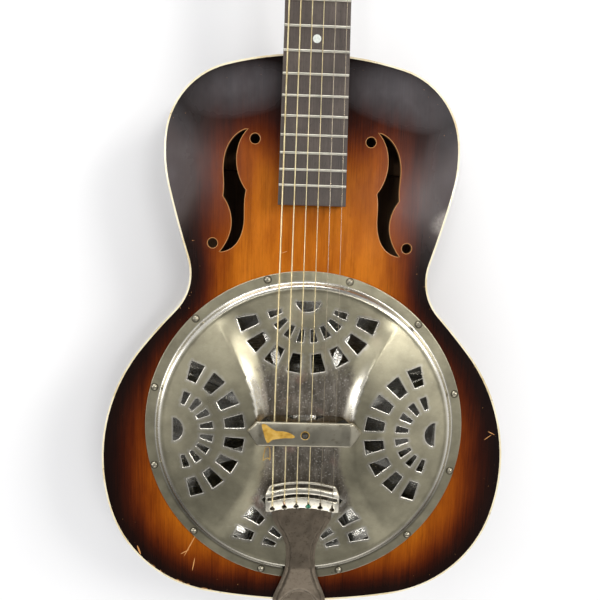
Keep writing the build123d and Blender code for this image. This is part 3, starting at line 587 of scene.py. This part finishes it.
def metal(name, colour, low, high, blotch=30.0, tarnish=None, scratch=0.35, speck=0.0):
    """Worn plate: blotches, fine scratches both ways and a little tarnish.
    The tone and the roughness stay at hand for finishes that are built on it."""
    made = Finish(name, low, 1.0, srgb(*colour))
    cloud = made.noise(blotch, 1, 5.0, 0.6)
    hair = made.noise(0.35, (30, 1, 30), 3.0, 0.6, 1.0)
    cross = made.noise(0.4, 26, 3.0, 0.6, 4.0)
    lines = made.most(made.step(hair, 0.58, 0.7), made.step(cross, 0.60, 0.72))
    shade = made.ramp(cloud, ((0.3, 0.80), (0.7, 1.0)))
    tone = made.mix(1.0, srgb(*colour), shade, "MULTIPLY")
    if tarnish:
        dull = made.step(made.noise(blotch / 3, 1, 6.0, 0.7, 9.0), 0.52, 0.70)
        tone = made.cover(dull, 0.6, tone, tarnish)
    if speck:
        spots = made.step(made.noise(1.3, 1, 2.0, 0.5, 12.0), 0.66, 0.70)
        tone = made.cover(spots, speck, tone, (60, 52, 42))
    made.tone, made.rough = tone, made.plus(made.span(cloud, 0.3, 0.7, low, high), made.times(lines, 0.12))
    made.set("Base Color", made.tone)
    made.set("Roughness", made.rough)
    height = made.plus(made.times(hair, 0.5), made.times(cross, 0.5))
    made.bump(height, 0.02 * scratch)
    return made


def strap_finish():
    """Dull grey steel, darker along the foot of the raised channel: partly grime, partly painted shade in
    the crease.
    """
    made = metal("Dull_steel", (130, 118, 102), 0.36, 0.5, 9.0, (70, 60, 48), 1.0, 0.6)
    # Darker on the channel's sloping sides, deepest at the foot: partly grime, partly painted shade.
    grime = made.times(made.read("fold"), made.span(made.noise(6.0), 0.3, 0.7, 0.45, 0.8))
    made.set("Base Color", made.mix(grime, made.tone, srgb(46, 40, 32)))
    return made.material


SCREW_CIRCLE, SCREW_STEP, SCREW_HEAD = 138.5, 30.0, 2.8


def radial_distance(made):
    """How far a point is from the coverplate's axis."""
    x, y = made.axis("X"), made.axis("Y")
    return made.math("SQRT", made.plus(made.times(x, x), made.times(y, y)))


def screw_distance(made):
    """How far a point is from the nearest coverplate screw; they are evenly spaced on a circle."""
    radius = radial_distance(made)
    turn = made.math("ARCTAN2", made.axis("Y"), made.axis("X"))
    turn = made.math("WRAP", turn, radians(SCREW_STEP), 0.0)
    turn = made.minus(turn, radians(SCREW_STEP / 2))
    along = made.minus(made.times(radius, made.math("COSINE", turn)), SCREW_CIRCLE)
    across = made.times(radius, made.math("SINE", turn))
    square = made.plus(made.times(along, along), made.times(across, across))
    return made.math("SQRT", square)


def coverplate_finish():
    """Dull nickel: polished with a painted highlight on its step, painted highlights on the upper trough
    walls and vent rims, dark and speckled in the trough, a painted shadow ring round each screw, a painted
    highlight at each screw's centre and painted shade on the bead along the plate's lower edge.
    """
    made = metal("Coverplate_nickel", (180, 173, 147), 0.27, 0.43, 34.0)
    smear = made.ramp(made.noise(13.0, 1, 6.0, 0.7, 17.0), ((0.35, 0.80), (0.60, 1.0)))
    tone = made.mix(0.8, made.tone, smear, "MULTIPLY")
    rubs = made.step(made.noise(0.6, (16, 1, 1), 3.0, 0.6, 19.0), 0.62, 0.74)
    tone = made.cover(rubs, 0.30, tone, (214, 210, 196))
    trough = made.read("trough")
    step = made.read("step")
    ragged = made.noise(14.0, 1, 6.0, 0.7, 3.0)
    mask = made.step(made.plus(trough, made.times(made.minus(ragged, 0.5), 0.7)), 0.45, 0.8)
    greys = ((0.3, (84, 79, 72)), (0.5, (122, 115, 104)), (0.7, (164, 156, 144)))
    grime = made.ramp(made.noise(7.0, 3, 7.0, 0.75, 5.0), greys)
    tone = made.mix(mask, tone, grime)
    pits = made.step(made.noise(1.5, 1, 2.0, 0.5, 2.0), 0.62, 0.66)
    tone = made.cover(made.times(pits, mask), 0.45, tone, (226, 222, 212))
    dots = made.step(made.noise(0.8, 1, 2.0, 0.5, 14.0), 0.63, 0.69)
    tone = made.cover(made.times(dots, mask), 0.5, tone, (46, 40, 34))
    tint = made.step(made.noise(24.0, 1, 3.0, 0.5, 21.0), 0.55, 0.7)
    tone = made.cover(made.times(tint, trough), 0.30, tone, (186, 140, 128))
    # The step band is lighter: partly polish, partly a painted highlight. The same colour is painted as
    # highlights on the upper trough walls and round the vents.
    tone = made.mix(step, tone, srgb(214, 210, 198))
    radius = radial_distance(made)
    # Painted shade: the step's bead is darkened towards the plate's lower edge.
    bead = made.minus(made.step(radius, 127.0, 128.5), made.step(radius, 134.0, 136.0))
    bead = made.times(bead, made.step(made.axis("Y"), -30.0, -85.0))
    tone = made.cover(bead, 0.6, tone, (78, 72, 58))
    away = screw_distance(made)
    # Painted shadow: a dark ring on the plate round each screw head.
    outer = made.step(away, SCREW_HEAD + 0.3, SCREW_HEAD + 1.3)
    screw_shadow = made.minus(made.step(away, 1.6, 2.2), outer)
    tone = made.cover(screw_shadow, 0.75, tone, (48, 42, 34))
    # Painted highlight: a bright spot at each screw's centre.
    tone = made.mix(made.step(away, 2.0, 1.4), tone, srgb(238, 234, 220))
    made.set("Base Color", tone)
    rough = made.plus(made.rough, made.times(mask, 0.10))
    made.set("Roughness", made.minus(rough, made.times(step, 0.14)))
    return made.material


TURNING_PITCH, WINDING_PITCH = 0.8, 0.32


def aluminium_finish():
    """Bare spun aluminium, with turning marks round the axis."""
    made = metal("Spun_aluminium", (196, 193, 184), 0.16, 0.3, 22.0)
    turning = made.math("SINE", made.times(radial_distance(made), 2 * pi / TURNING_PITCH))
    made.bump(turning, 0.03)
    return made.material


def bronze_finish():
    """Phosphor bronze winding: fine ridges across the string."""
    made = Finish("Bronze_winding", 0.3, 1.0, srgb(214, 186, 120))
    tone = made.noise(18.0, 1, 4.0, 0.6)
    made.set("Base Color", made.ramp(tone, ((0.3, (218, 196, 142)), (0.7, (248, 236, 192)))))
    wraps = made.math("SINE", made.times(made.axis("Y"), 2 * pi / WINDING_PITCH))
    made.bump(wraps, 0.05)
    return made.material


def smooth_finish(name, light, dark, size, roughness, depth=0.02, **others):
    """Celluloid, bone, pearl or plastic: soft clouds of colour and a fine texture."""
    made = Finish(name, roughness, **others)
    cloud = made.noise(size, 1, 5.0, 0.6)
    made.set("Base Color", made.ramp(cloud, ((0.3, dark), (0.7, light))))
    made.bump(made.noise(size / 8, 1, 3.0), depth)
    return made.material


def stain_finish():
    """Yellow lacquer, dried in a puddle."""
    made = Finish("Yellow_lacquer", 0.28, Coat_Weight=0.3)
    cloud = made.noise(7.0, 1, 5.0, 0.6)
    yellows = ((0.3, (146, 106, 30)), (0.5, (186, 146, 60)), (0.7, (206, 170, 92)))
    made.set("Base Color", made.ramp(cloud, yellows))
    made.bump(cloud, 0.05)
    return made.material


FINISHES = {
    "sunburst_top": soundboard_finish(),
    "dark_lacquer": lacquer_finish(),
    "bare_wood": raw_wood("Bare_spruce", (92, 62, 36), (134, 98, 62)),
    "maple": raw_wood("Maple", (190, 150, 96), (222, 190, 138), 0.5),
    "neck_wood": lacquer_finish(),
    "fingerboard": fingerboard_finish(),
    "binding": binding_finish(),
    "nickel_plate": metal("Worn_nickel", (170, 164, 146), 0.28, 0.4, 18.0, (120, 110, 92)).material,
    "bright_nickel": metal("Bright_nickel", (232, 226, 208), 0.24, 0.36, 12.0, (150, 134, 104)).material,
    "aluminium": aluminium_finish(),
    "dull_steel": strap_finish(),
    "fret_metal": metal("Fret_nickel_silver", (218, 213, 198), 0.28, 0.36, 6.0, scratch=0.1).material,
    "pearl": smooth_finish("Pearl", (240, 240, 232), (204, 212, 206), 2.2, 0.2, Coat_Weight=0.5),
    "bone": smooth_finish("Bone", (232, 222, 196), (206, 190, 152), 5.0, 0.4),
    "bronze": bronze_finish(),
    "string_steel": metal("String_steel", (176, 164, 142), 0.24, 0.34, 20.0).material,
    "tuner_steel": metal("Tuner_steel", (176, 172, 162), 0.25, 0.4, 8.0, (108, 92, 68)).material,
    "gear_brass": metal("Gear_brass", (196, 162, 96), 0.28, 0.4, 5.0, (120, 88, 44)).material,
    "ivoroid": smooth_finish("Ivoroid", (234, 222, 190), (212, 192, 146), 6.0, 0.3, Coat_Weight=0.3),
    "black_plastic": smooth_finish("Black_plastic", (34, 32, 30), (18, 17, 16), 8.0, 0.35),
}
STAIN = stain_finish()
# A near-black finish for a ring round the palm rest's hole.
HOLE_DARK_RING = smooth_finish("Hole_dark_ring", (30, 26, 22), (18, 15, 12), 3.0, 0.6)
COVER_METAL = coverplate_finish()

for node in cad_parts.values():
    for slot in node.material_slots:
        found = slot.material.name.split(".")[0]
        if found in FINISHES:
            slot.material = FINISHES[found]

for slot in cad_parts["coverplate_screws"].material_slots:
    slot.material = FINISHES["nickel_plate"]

# --------------------------------------------------------------- soundboard


def top_loops(node):
    """The closed edges of a CAD node's flat upper face, outermost first, in millimetres."""
    mesh = bmesh.new()
    mesh.from_mesh(node.data)
    bmesh.ops.remove_doubles(mesh, verts=mesh.verts, dist=1e-6)
    high = max(v.co.z for v in mesh.verts)
    flat = {f for f in mesh.faces if all(abs(v.co.z - high) < 1e-6 for v in f.verts)}
    follow = {}
    for f in flat:
        for loop in f.loops:
            if sum(g in flat for g in loop.edge.link_faces) == 1:
                follow[loop.vert] = loop.link_loop_next.vert
    loops = []
    while follow:
        start = next(iter(follow))
        here, points = start, []
        while here in follow:
            points.append((here.co.x / MM, here.co.y / MM))
            here = follow.pop(here)
        loops.append(points)
    mesh.free()
    return sorted(loops, key=lambda points: min(p[1] for p in points))


def burst(xy, rim):
    """How far from the dark edge a place on the front looks, from 0 to 1."""
    y = xy[:, 1]
    reach = np.interp(y, (-165, -130, -90, -30, 60, 125, 150, 170, 185, 205, 225, 245, 275, 320),
                      (22, 25, 28, 33, 26, 19, 20, 26, 32, 38, 45, 55, 75, 140))
    return np.clip(rim / reach * 0.44, 0, 1)


def level(z):
    """The face of a flat sheet."""
    return lambda x, _: np.full_like(x, z)


def make_soundboard():
    """The front, whose points know their distance from the edge and from the f-holes."""
    loops = [split_long(loop, 5.0) for loop in top_loops(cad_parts["soundboard"])]
    outline, holes = loops[0], loops[1:]

    def paint(middles, walls):
        return [0] * len(middles) + [1] * (len(middles) + walls)

    materials = [FINISHES["sunburst_top"], FINISHES["bare_wood"]]
    borders = [np.array(hole) - sides_of(hole, True) * reach
               for hole in holes for reach in (0.35, 0.8, 1.6)]
    made, xy = stamped("Soundboard", outline, holes, level(TOP), TOP_SHEET, materials, 5.0,
                       lines=borders, paint=paint)
    rim = gap_to(xy, [outline])
    colour_points(made, "hole", gap_to(xy, holes))
    colour_points(made, "edge", rim)
    colour_points(made, "rim", burst(xy, rim))
    return stand_for(made, "soundboard")


def make_back():
    """The back, with the same burst as the front on its outer face."""
    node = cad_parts["back"]
    low, high = (corner.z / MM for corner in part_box("back"))
    outline = split_long(top_loops(node)[0], 5.0)

    def paint(middles, walls):
        return [1] * len(middles) + [0] * (len(middles) + walls)

    materials = [FINISHES["dark_lacquer"], FINISHES["bare_wood"]]
    made, xy = stamped("Back", outline, [], level(high), high - low, materials, 6.0, paint=paint)
    colour_points(made, "rim", burst(xy, gap_to(xy, [outline])))
    return stand_for(made, "back")


# --------------------------------------------------------------- coverplate
DOME_EDGE, CROWN_EDGE = 129.2, 48.0
STEP_FOOT, STEP_TOP = 133.4, 129.0
FLANGE_Z, DOME_LOW, CROWN_Z, TROUGH_Z = 1.0, 5.0, 14.0, 5.5
FAN_PLACE = 115.8


def ease(t):
    t = np.clip(t, 0, 1)
    return t * t * (3 - 2 * t)


def crest_x(y):
    """Half the trough's width at its upper edge."""
    return 41 + y ** 2 / 240


def crest_line():
    """The trough's upper edge, closed by an arc at each end."""
    along = np.linspace(-96.3, 96.3, 90)
    left = [(-crest_x(y), y) for y in along]
    head = arc(125.0, 129.6, 50.4, steps=40)[1:-1]
    right = [(-x, y) for x, y in left[::-1]]
    return left + head + right + [(x, -y) for x, y in head[::-1]]


def trough_share(x, y):
    """0 on the trough's floor, 1 on the dome beside it."""
    soft = ease((12.0 - y) / 30.0)
    foot = 31 + y ** 2 / 420 - 9 * soft
    rise = np.clip((np.abs(x) - foot) / (crest_x(y) + 4 * soft - foot), 0, 1)
    return (1 - soft) * rise ** 1.5 + soft * ease(rise)


def cover_height(x, y):
    radius = np.hypot(x, y)
    slope = np.clip((radius - CROWN_EDGE) / (DOME_EDGE - CROWN_EDGE), 0, 1)
    dome = CROWN_Z - (CROWN_Z - DOME_LOW) * slope ** 2
    floor = np.minimum(dome, TROUGH_Z)
    share = trough_share(x, y)
    surface = floor + (dome - floor) * share
    bead = 0.5 * np.exp(-((radius - 127.5) / 1.6) ** 2)
    step = ease((STEP_FOOT - radius) / (STEP_FOOT - STEP_TOP))
    return TOP + FLANGE_Z + (surface + bead - FLANGE_Z) * step


def fan_holes():
    """One fan of vents: two arcs of tapered slots round a half-moon, spreading along +X."""
    holes = []
    for angle in range(-70, 80, 20):
        for near, near_half, far, far_half in ((24.6, 1.6, 35.8, 3.0), (46.7, 4.0, 63.2, 6.2)):
            corners = [(near, -near_half), (far, -far_half), (far, far_half), (near, near_half)]
            holes.append(turned(split_long(rounded(corners, 0.5, 3), 2.5), angle))
    moon = arc(10.9, -79.0, 79.0, (-2.1, 0.0), 20)
    holes.append(moon)
    return holes


def make_coverplate():
    """The domed plate with its four fans, its trough and the gap for the saddles."""
    holes = []
    for quarter in range(4):
        holes += [turned([(FAN_PLACE - x, -y) for x, y in hole], 90 * quarter) for hole in fan_holes()]
    gap = [(-40.5, -9), (40.5, -9), (40.5, 9), (33, 13.6), (0, 15), (-33, 13.6), (-40.5, 9)]
    holes.append(split_long(rounded(gap, (1, 1, 2, 8, 60, 8, 2)), 2.0))
    radii = (134.2, 133.4, 132.6, 131.8, 131.0, 130.2, 129.4, 128.6, 127.5, 126.0)
    rings = [ring(r, steps=240) for r in radii]
    drip = smooth([(-34, -14), (-30.4, -14.5), (-29.6, -21), (-29.8, -27.6), (-31.6, -24.9),
                   (-33.6, -25.2), (-36, -26.2), (-35.7, -21)], 5)
    dried = np.array(drip) - sides_of(drip, False) * 0.7

    def paint(middles, walls):
        spilt = inside(middles, [drip]) & ~inside(middles, [dried])
        return list(spilt.astype(int)) + [0] * (len(middles) + walls)

    outline = ring(COVER_RADIUS, steps=300)
    lines = rings + [drip, dried, crest_line()]
    metals = [COVER_METAL, STAIN]
    made, xy = stamped("Coverplate", outline, holes, cover_height, 1.0, metals, 2.6, 0.7, lines, paint)
    share = 1 - trough_share(xy[:, 0], xy[:, 1])
    radius = np.hypot(xy[:, 0], xy[:, 1])
    share = share * ease((124 - radius) / 14) * (1 - 0.55 * ease((xy[:, 1] - 20) / 60))
    share = share * (1 - 0.5 * ease((-xy[:, 1] - 60) / 30))
    colour_points(made, "trough", share)
    # Polish on the step ring, partly a painted highlight; painted highlights on the trough's upper walls
    # near the palm rest and along the vent rims.
    polish_and_highlight = ease((radius - 127.0) / 1.5) * ease((134.0 - radius) / 1.0)
    crest_gap = crest_x(xy[:, 1]) - np.abs(xy[:, 0])
    wall = ease((crest_gap + 0.8) / 0.8) * ease((9.0 - crest_gap) / 5.0)
    beside = ease((70 - xy[:, 1]) / 35) * ease((xy[:, 1] - 4) / 10)
    polish_and_highlight = np.maximum(polish_and_highlight, 0.9 * wall * beside)
    vents = gap_to(xy, holes[:-1])
    polish_and_highlight = np.maximum(polish_and_highlight, ease((0.9 - vents) / 0.4))
    colour_points(made, "step", polish_and_highlight)
    return stand_for(made, "coverplate")


# ---------------------------------------------------------------- palm rest


PALM_HOLE, PALM_HOLE_RADIUS = (0.2, 1.9), 2.6
DARK_RING_EDGE, HOLE_STAIN = 3.3, 3.8


def make_palm_rest():
    """The strap over the saddles, with a yellow puddle, a dark ring round its hole and a stained ring
    outside that.
    """
    middle, half = 1.95, 10.9
    corners = [(-42, middle + half), (42, middle + half), (50.8, 2.4), (41, middle - half),
               (-41, middle - half), (-50.8, 2.4)]
    corners.reverse()
    outline = split_long(rounded(corners, (1.2, 2, 2, 1.2, 2, 2)), 1.5)
    hole = ring(PALM_HOLE_RADIUS, PALM_HOLE, 32)
    puddle = smooth([(-37.2, 10.6), (-34.2, 11.2), (-29.2, 7.8), (-24.5, 5.6), (-19.0, 5.4), (-13.8, 4.2),
                     (-9.0, 1.4), (-9.8, -0.5), (-16.7, -0.7), (-22.0, -1.4), (-27.4, -2.4), (-29.7, -4.1),
                     (-31.9, -5.4), (-33.3, -3.5), (-34.8, 1.0), (-36.4, 6.5)], 5)
    halo = [ring(DARK_RING_EDGE, PALM_HOLE, 32), ring(HOLE_STAIN, PALM_HOLE, 32)]

    def height(x, y):
        fold = 41 + 0.05 * (y - middle)
        drop = 7.6 * np.clip((np.abs(x) - fold + 2) / 11.4, 0, 1) ** 1.5
        crown = 0.9 * np.abs((y - middle) / half) ** 2.5
        return PALM_TOP - 0.1 - drop - crown

    def paint(middles, walls):
        away = np.hypot(*(middles - PALM_HOLE).T)
        painted = inside(middles, [puddle]) | ((away > DARK_RING_EDGE) & (away < HOLE_STAIN))
        # Faces close round the hole take the dark ring's finish.
        painted = np.where(away < DARK_RING_EDGE, 2, painted.astype(int))
        return list(painted) + [0] * (len(middles) + walls)

    materials = [FINISHES["nickel_plate"], STAIN, HOLE_DARK_RING]
    made, _ = stamped("Palm_rest", outline, [hole], height, 1.6, materials, 1.6, 1.9, halo + [puddle], paint)
    return stand_for(made, "palm_rest")


# ---------------------------------------------------------------- tailpiece


def arched(corners, radius, drop=5.0, half=31.5):
    """A rounded shape drawn straight and then bent into the comb's arch."""
    loop = split_long(rounded(corners, radius), 1.2)
    return [(x, y - drop * (x / half) ** 2) for x, y in loop]


def box_corners(left, right, low, high):
    return [(left, low), (right, low), (right, high), (left, high)]


STRING_RADII = (0.66, 0.53, 0.41, 0.31, 0.21, 0.17)
KEY_SPAN = 53.3
CUT_Y = -59.0


def string_x(index, span):
    """Where a string lies across its row, which is span wide."""
    return -span / 2 + span * index / 5


def keyhole(x):
    """A round hole for the ball end, with a slot above it for the string."""
    y = key_y(x)
    round_part = arc(1.95, 110, 430, (x, y), 20)
    return [(x - 0.6, y + 5.2), *round_part, (x + 0.6, y + 5.2)]


def make_comb():
    """The arched plate with two bars and six keyholes."""
    low, waist, high = -69.4, -51.0, -43.6
    corners = [(-33.0, low), (33.0, low), (33.0, waist), (29.5, high), (-29.5, high), (-33.0, waist)]
    outline = arched(corners, (2.5, 2.5, 6, 4, 4, 6))
    slots = [arched(box_corners(-27, 27, -48.9, -45.8), 1.2)]
    slots.append(arched(box_corners(-31, 31, -58.0, -54.8), 1.2))
    keys = [keyhole(string_x(i, KEY_SPAN)) for i in range(6)]

    def height(x, y):
        row = y + 5.0 * (x / 31.5) ** 2
        bar = 1.9 * np.sqrt(np.clip(1 - ((row + 51.8) / 3.6) ** 2, 0, 1))
        front = 3.0 * np.clip((-58.0 - row) / 11.4, 0, 1) ** 1.3
        ends = 1.8 * ease((np.abs(x) - 27.5) / 6.0)
        return COMB_TOP - 1.9 + np.maximum(bar, np.where(row < -55.0, 1.0, 0.4)) - front - ends

    materials = [FINISHES["bright_nickel"]]
    made, _ = stamped("Tailpiece_comb", outline, slots + keys, height, 1.6, materials, 1.1, 0.9)
    return stand_for(made, "tailpiece_comb")


def strap_half(y):
    """Half the strap's width along its length."""
    return np.interp(y, (-166, -160, -146, -132, -118, -106, -95, -88, -81, -72),
                     (24.6, 24.0, 18.6, 14.2, 12.8, 13.8, 18.0, 22.6, 26.4, 27.0))


def make_strap():
    """The stamped strap: a raised channel with a rounded end, and a hook over the tail."""
    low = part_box("tailpiece_strap")[0]
    edge_y = low.y / MM
    sheet = 1.4
    path = [(-70.3, TOP + 8.4), (-128.0, TOP + 7.8), (-154.0, TOP + 2.9), (edge_y + 3.0, TOP + 2.0)]
    path += [(edge_y + 3.0 * (1 - sin(a)), TOP - 1.0 + 3.0 * cos(a))
             for a in np.radians((20, 40, 60, 80, 90))]
    path += [(edge_y, TOP - 12.0), (edge_y, 60.0), (edge_y, 36.0), (edge_y, low.z / MM)]
    ys, zs = np.array(path).T
    run = np.r_[0, np.cumsum(np.hypot(np.diff(ys), np.diff(zs)))]
    stations = np.unique(np.r_[np.linspace(0, run[4], 70), run[4:9], np.linspace(run[8], run[-1], 40)])
    across = np.linspace(-1, 1, 49)
    rows, folds = [], []
    corner = run[4]
    tail_run = run[-1] - corner
    for s in stations:
        y, z = np.interp(s, run, ys), np.interp(s, run, zs)
        around = (s - 0.5, s + 0.5)
        ahead = Vector((0, *(np.diff(np.interp(around, run, c))[0] for c in (ys, zs)))).normalized()
        out = Vector((0, ahead.z, -ahead.y))
        if out.z < 0 and out.y > 0:
            out = -out
        if s <= corner:
            half = strap_half(y)
        else:
            share = (s - corner) / tail_run
            half = 24.6 - 15.5 * ease(share * 1.05)
        inset = half - 3.4
        upper, lower = [], []
        for t in across:
            x = t * half
            channel = ease((inset - abs(x)) / 1.8) if s <= corner else 0.0
            rounded_end = ease((y + 153.0 + 4.0 * (x / 10) ** 2) / 2.5) if s <= corner else 0.0
            raised = channel * rounded_end
            folds.append(1.0 - raised if 0.001 < raised < 0.999 else 0.0)
            lift = 1.1 * raised
            edge = 0.5 * ease((abs(t) - 0.9) / 0.1)
            point = Vector((x, y, z)) + out * (lift - edge)
            upper.append(tuple(point))
            lower.append(tuple(Vector((x, y, z)) - out * sheet))
        rows.append(upper + lower[::-1])
        folds += [0.0] * len(lower)
    made = swept("Tailpiece_strap", rows, [FINISHES["dull_steel"]])
    colour_points(made, "fold", folds)
    return stand_for(made, "tailpiece_strap")


# --------------------------------------------------------------- string ends


def turned_piece(name, profile, middle, axis, materials, steps=32):
    """A piece turned on a lathe: (distance along the axis, radius) pairs about a middle."""
    along = Vector(axis).normalized()
    side = along.orthogonal().normalized()
    other = along.cross(side)
    rows = []
    for reach, radius in profile:
        centre = Vector(middle) + along * reach
        rows.append([centre + (side * cos(a) + other * sin(a)) * radius
                     for a in np.linspace(0, 2 * pi, steps, endpoint=False)])
    return swept(name, rows, materials, sharp=50.0)


def key_y(x):
    """Where a keyhole's round part lies along the comb's arch."""
    return -67.3 - 3.0 * (x / 27) ** 2


def tube(path, radius, steps=12):
    """Points and faces of a bent wire with closed ends."""
    route = [Vector(p) for p in path]
    points, faces = [], []
    for i, p in enumerate(route):
        ahead = (route[min(i + 1, len(route) - 1)] - route[max(i - 1, 0)]).normalized()
        side = ahead.cross(Vector((1, 0, 0))).normalized()
        other = ahead.cross(side)
        for k in range(steps):
            turn = 2 * pi * k / steps
            points.append(tuple((p + (side * cos(turn) + other * sin(turn)) * radius)))
    for i in range(len(route) - 1):
        for k in range(steps):
            a, b = i * steps + k, i * steps + (k + 1) % steps
            faces.append((a, b, b + steps, a + steps))
    last = (len(route) - 1) * steps
    return points, faces + [tuple(range(steps))[::-1], tuple(last + k for k in range(steps))]


def tail_path(index):
    """From the comb's upper side, over its edge and down through the keyhole's slot."""
    x, radius = string_x(index, KEY_SPAN), STRING_RADII[index]
    y = key_y(x)
    rise = COMB_TOP + 0.15 + radius
    start = (string_x(index, 53.32), CUT_Y + 0.5, rise + 0.036 * (CUT_Y + 0.5 - y - 1.4))
    bend = [(x, y + 6.4, rise + 0.1), (x, y + 5.4, rise - 0.1),
            (x, y + 4.7, rise - 0.6), (x, y + 4.2, rise - 1.6)]
    return [start] + bend + [(x, y + 3.2, TOP + 9.4), (x, y + 2.4, TOP + 8.4)]


def make_strings(name, node, indexes, slot):
    """The strings, whose tails dive through the keyholes."""
    mesh = bmesh.new()
    mesh.from_mesh(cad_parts[node].data)
    every = mesh.verts[:] + mesh.edges[:] + mesh.faces[:]
    place = (0, CUT_Y * MM, 0)
    cut = bmesh.ops.bisect_plane(mesh, geom=every, plane_co=place, plane_no=(0, 1, 0), clear_inner=True)
    bmesh.ops.holes_fill(mesh, edges=[e for e in cut["geom_cut"] if isinstance(e, bmesh.types.BMEdge)])
    for index in indexes:
        points, faces = tube(tail_path(index), STRING_RADII[index] + 0.01)
        verts = [mesh.verts.new(Vector(p) * MM) for p in points]
        for face in faces:
            mesh.faces.new([verts[i] for i in face])
    data = bpy.data.meshes.new(name)
    mesh.to_mesh(data)
    mesh.free()
    data.materials.append(FINISHES[slot])
    data.shade_smooth()
    data.set_sharp_from_angle(angle=radians(50))
    return stand_for(put_object(name, data), node)


def make_string_ends():
    """The painted ball end of the fourth string and the silk round the second's end."""
    ball = smooth_finish("Green_enamel", (24, 132, 92), (10, 78, 58), 1.5, 0.2, Coat_Weight=0.5)
    silk = smooth_finish("Red_silk", (176, 52, 44), (112, 24, 22), 0.6, 0.8, 0.05)
    x = string_x(3, KEY_SPAN)
    rim = [(-1.75, 1.2), (-1.7, 1.6), (-1.3, 1.88), (-0.8, 1.86), (-0.4, 1.5), (0.0, 1.4)]
    profile = rim + [(-reach, radius) for reach, radius in rim[-2::-1]]
    green = turned_piece("Ball_end_4", profile, (x, key_y(x), TOP + 10.6), (1, 0, 0), [ball])
    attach(green, "root")
    start, end = Vector(tail_path(1)[4]), Vector(tail_path(1)[1])
    length = (end - start).length
    wraps = [(s, 0.74 + 0.07 * cos(2 * pi * s / 0.42)) for s in np.linspace(0, length, 60)]
    red = turned_piece("Silk_winding_2", wraps, start, end - start, [silk], 16)
    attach(red, "root")


make_soundboard()
make_back()
make_coverplate()
make_palm_rest()
make_comb()
make_strap()
make_strings("Wound_strings", "wound_strings", (0, 1, 2, 3), "bronze")
make_strings("Plain_strings", "plain_strings", (4, 5), "string_steel")
make_string_ends()

# ----------------------------------------------------- camera, floor, lights
CAMERA_PLACE = Vector((-18.3, 168.4, 552.6)) * MM
CAMERA_AIM = Vector((-7.2, 116.7, 82.5)) * MM
CAMERA_ROLL = 1.73
CAMERA_LENS = 32.4


def make_camera():
    data = bpy.data.cameras.new("Camera")
    data.sensor_width = 36.0
    data.lens = CAMERA_LENS
    data.clip_start = 0.01
    made = put_object("Camera", data)
    back = (CAMERA_PLACE - CAMERA_AIM).normalized()
    right = Vector((0, 1, 0)).cross(back).normalized()
    up = back.cross(right)
    turn = Matrix((right, up, back)).transposed() @ Matrix.Rotation(radians(CAMERA_ROLL), 3, "Z")
    made.matrix_world = Matrix.Translation(CAMERA_PLACE) @ turn.to_4x4()
    bpy.context.scene.camera = made


def make_floor():
    """A pale sheet that the guitar lies on."""
    low = CAD_BOX[0][2] / MM - 0.2
    reach = 6000.0
    points = [(-reach, -reach, low), (reach, -reach, low), (reach, reach, low), (-reach, reach, low)]
    made = Finish("Floor_paper", 0.9, 0.0, srgb(244, 244, 244))
    tone = made.noise(400.0, 1, 3.0)
    made.set("Base Color", made.ramp(tone, ((0.3, (242, 242, 242)), (0.7, (246, 246, 246)))))
    floor = put_mesh("Floor", points, [(0, 1, 2, 3)], [made.material])


def add_light(name, place, aim, size, power, colour=(1, 1, 1)):
    data = bpy.data.lights.new(name, "AREA")
    data.shape = "RECTANGLE"
    data.size, data.size_y = size
    data.energy = power
    data.color = colour
    made = put_object(name, data)
    made.location = place
    made.rotation_euler = (Vector(aim) - Vector(place)).to_track_quat("-Z", "Y").to_euler()


SKY_GLOWS = (
    ((0.90, 0.10, 0.42), 0.50, 0.98, 0.75),
    ((-0.82, 0.25, 0.50), 0.50, 0.98, 0.60),
    ((0.05, -0.98, 0.10), 0.72, 0.99, 0.9),
)


def make_sky(lobes, zenith):
    """Soft room light: a dim ceiling with pale walls that glow towards a few directions."""
    world = bpy.context.scene.world or bpy.data.worlds.new("World")
    bpy.context.scene.world = world
    world.use_nodes = True
    tree = world.node_tree
    ahead = add_node(tree, "TexCoord", {}).outputs["Generated"]
    total = zenith
    for toward, start, end, glow in lobes:
        facing = {0: ahead, 1: Vector(toward).normalized()}
        dot = add_node(tree, "VectorMath", facing, operation="DOT_PRODUCT").outputs["Value"]
        rise = {"Value": dot, "From Min": start, "From Max": end, "To Max": glow}
        rise = add_node(tree, "MapRange", rise, interpolation_type="SMOOTHSTEP").outputs[0]
        total = add_node(tree, "Math", {0: rise, 1: total}).outputs[0]
    background = tree.nodes["Background"]
    fill_socket(tree, background.inputs["Strength"], total)
    fill_socket(tree, background.inputs["Color"], (0.98, 0.98, 1.0, 1))


def make_lights():
    make_sky(SKY_GLOWS, 0.21)
    aim = (0, 0.1, 0.05)
    add_light("Key", (2.3, 1.2, 1.9), aim, (1.1, 1.1), 46, (1.0, 0.98, 0.95))
    add_light("Top_low", (-0.6, 2.2, 0.8), aim, (2.3, 0.7), 32)
    add_light("Left_low", (-2.6, 0.2, 0.9), aim, (0.8, 1.6), 15)
    add_light("Left_strip", (-0.53, 0.50, 2.0), aim, (0.14, 0.3), 3.2)
    add_light("Right_strip", (0.72, 0.42, 2.0), aim, (0.12, 0.5), 7)
    add_light("Tail_low", (0.2, -2.2, 1.0), aim, (1.6, 0.5), 6)
    bpy.context.scene.view_settings.view_transform = "Standard"


make_camera()
make_floor()
make_lights()
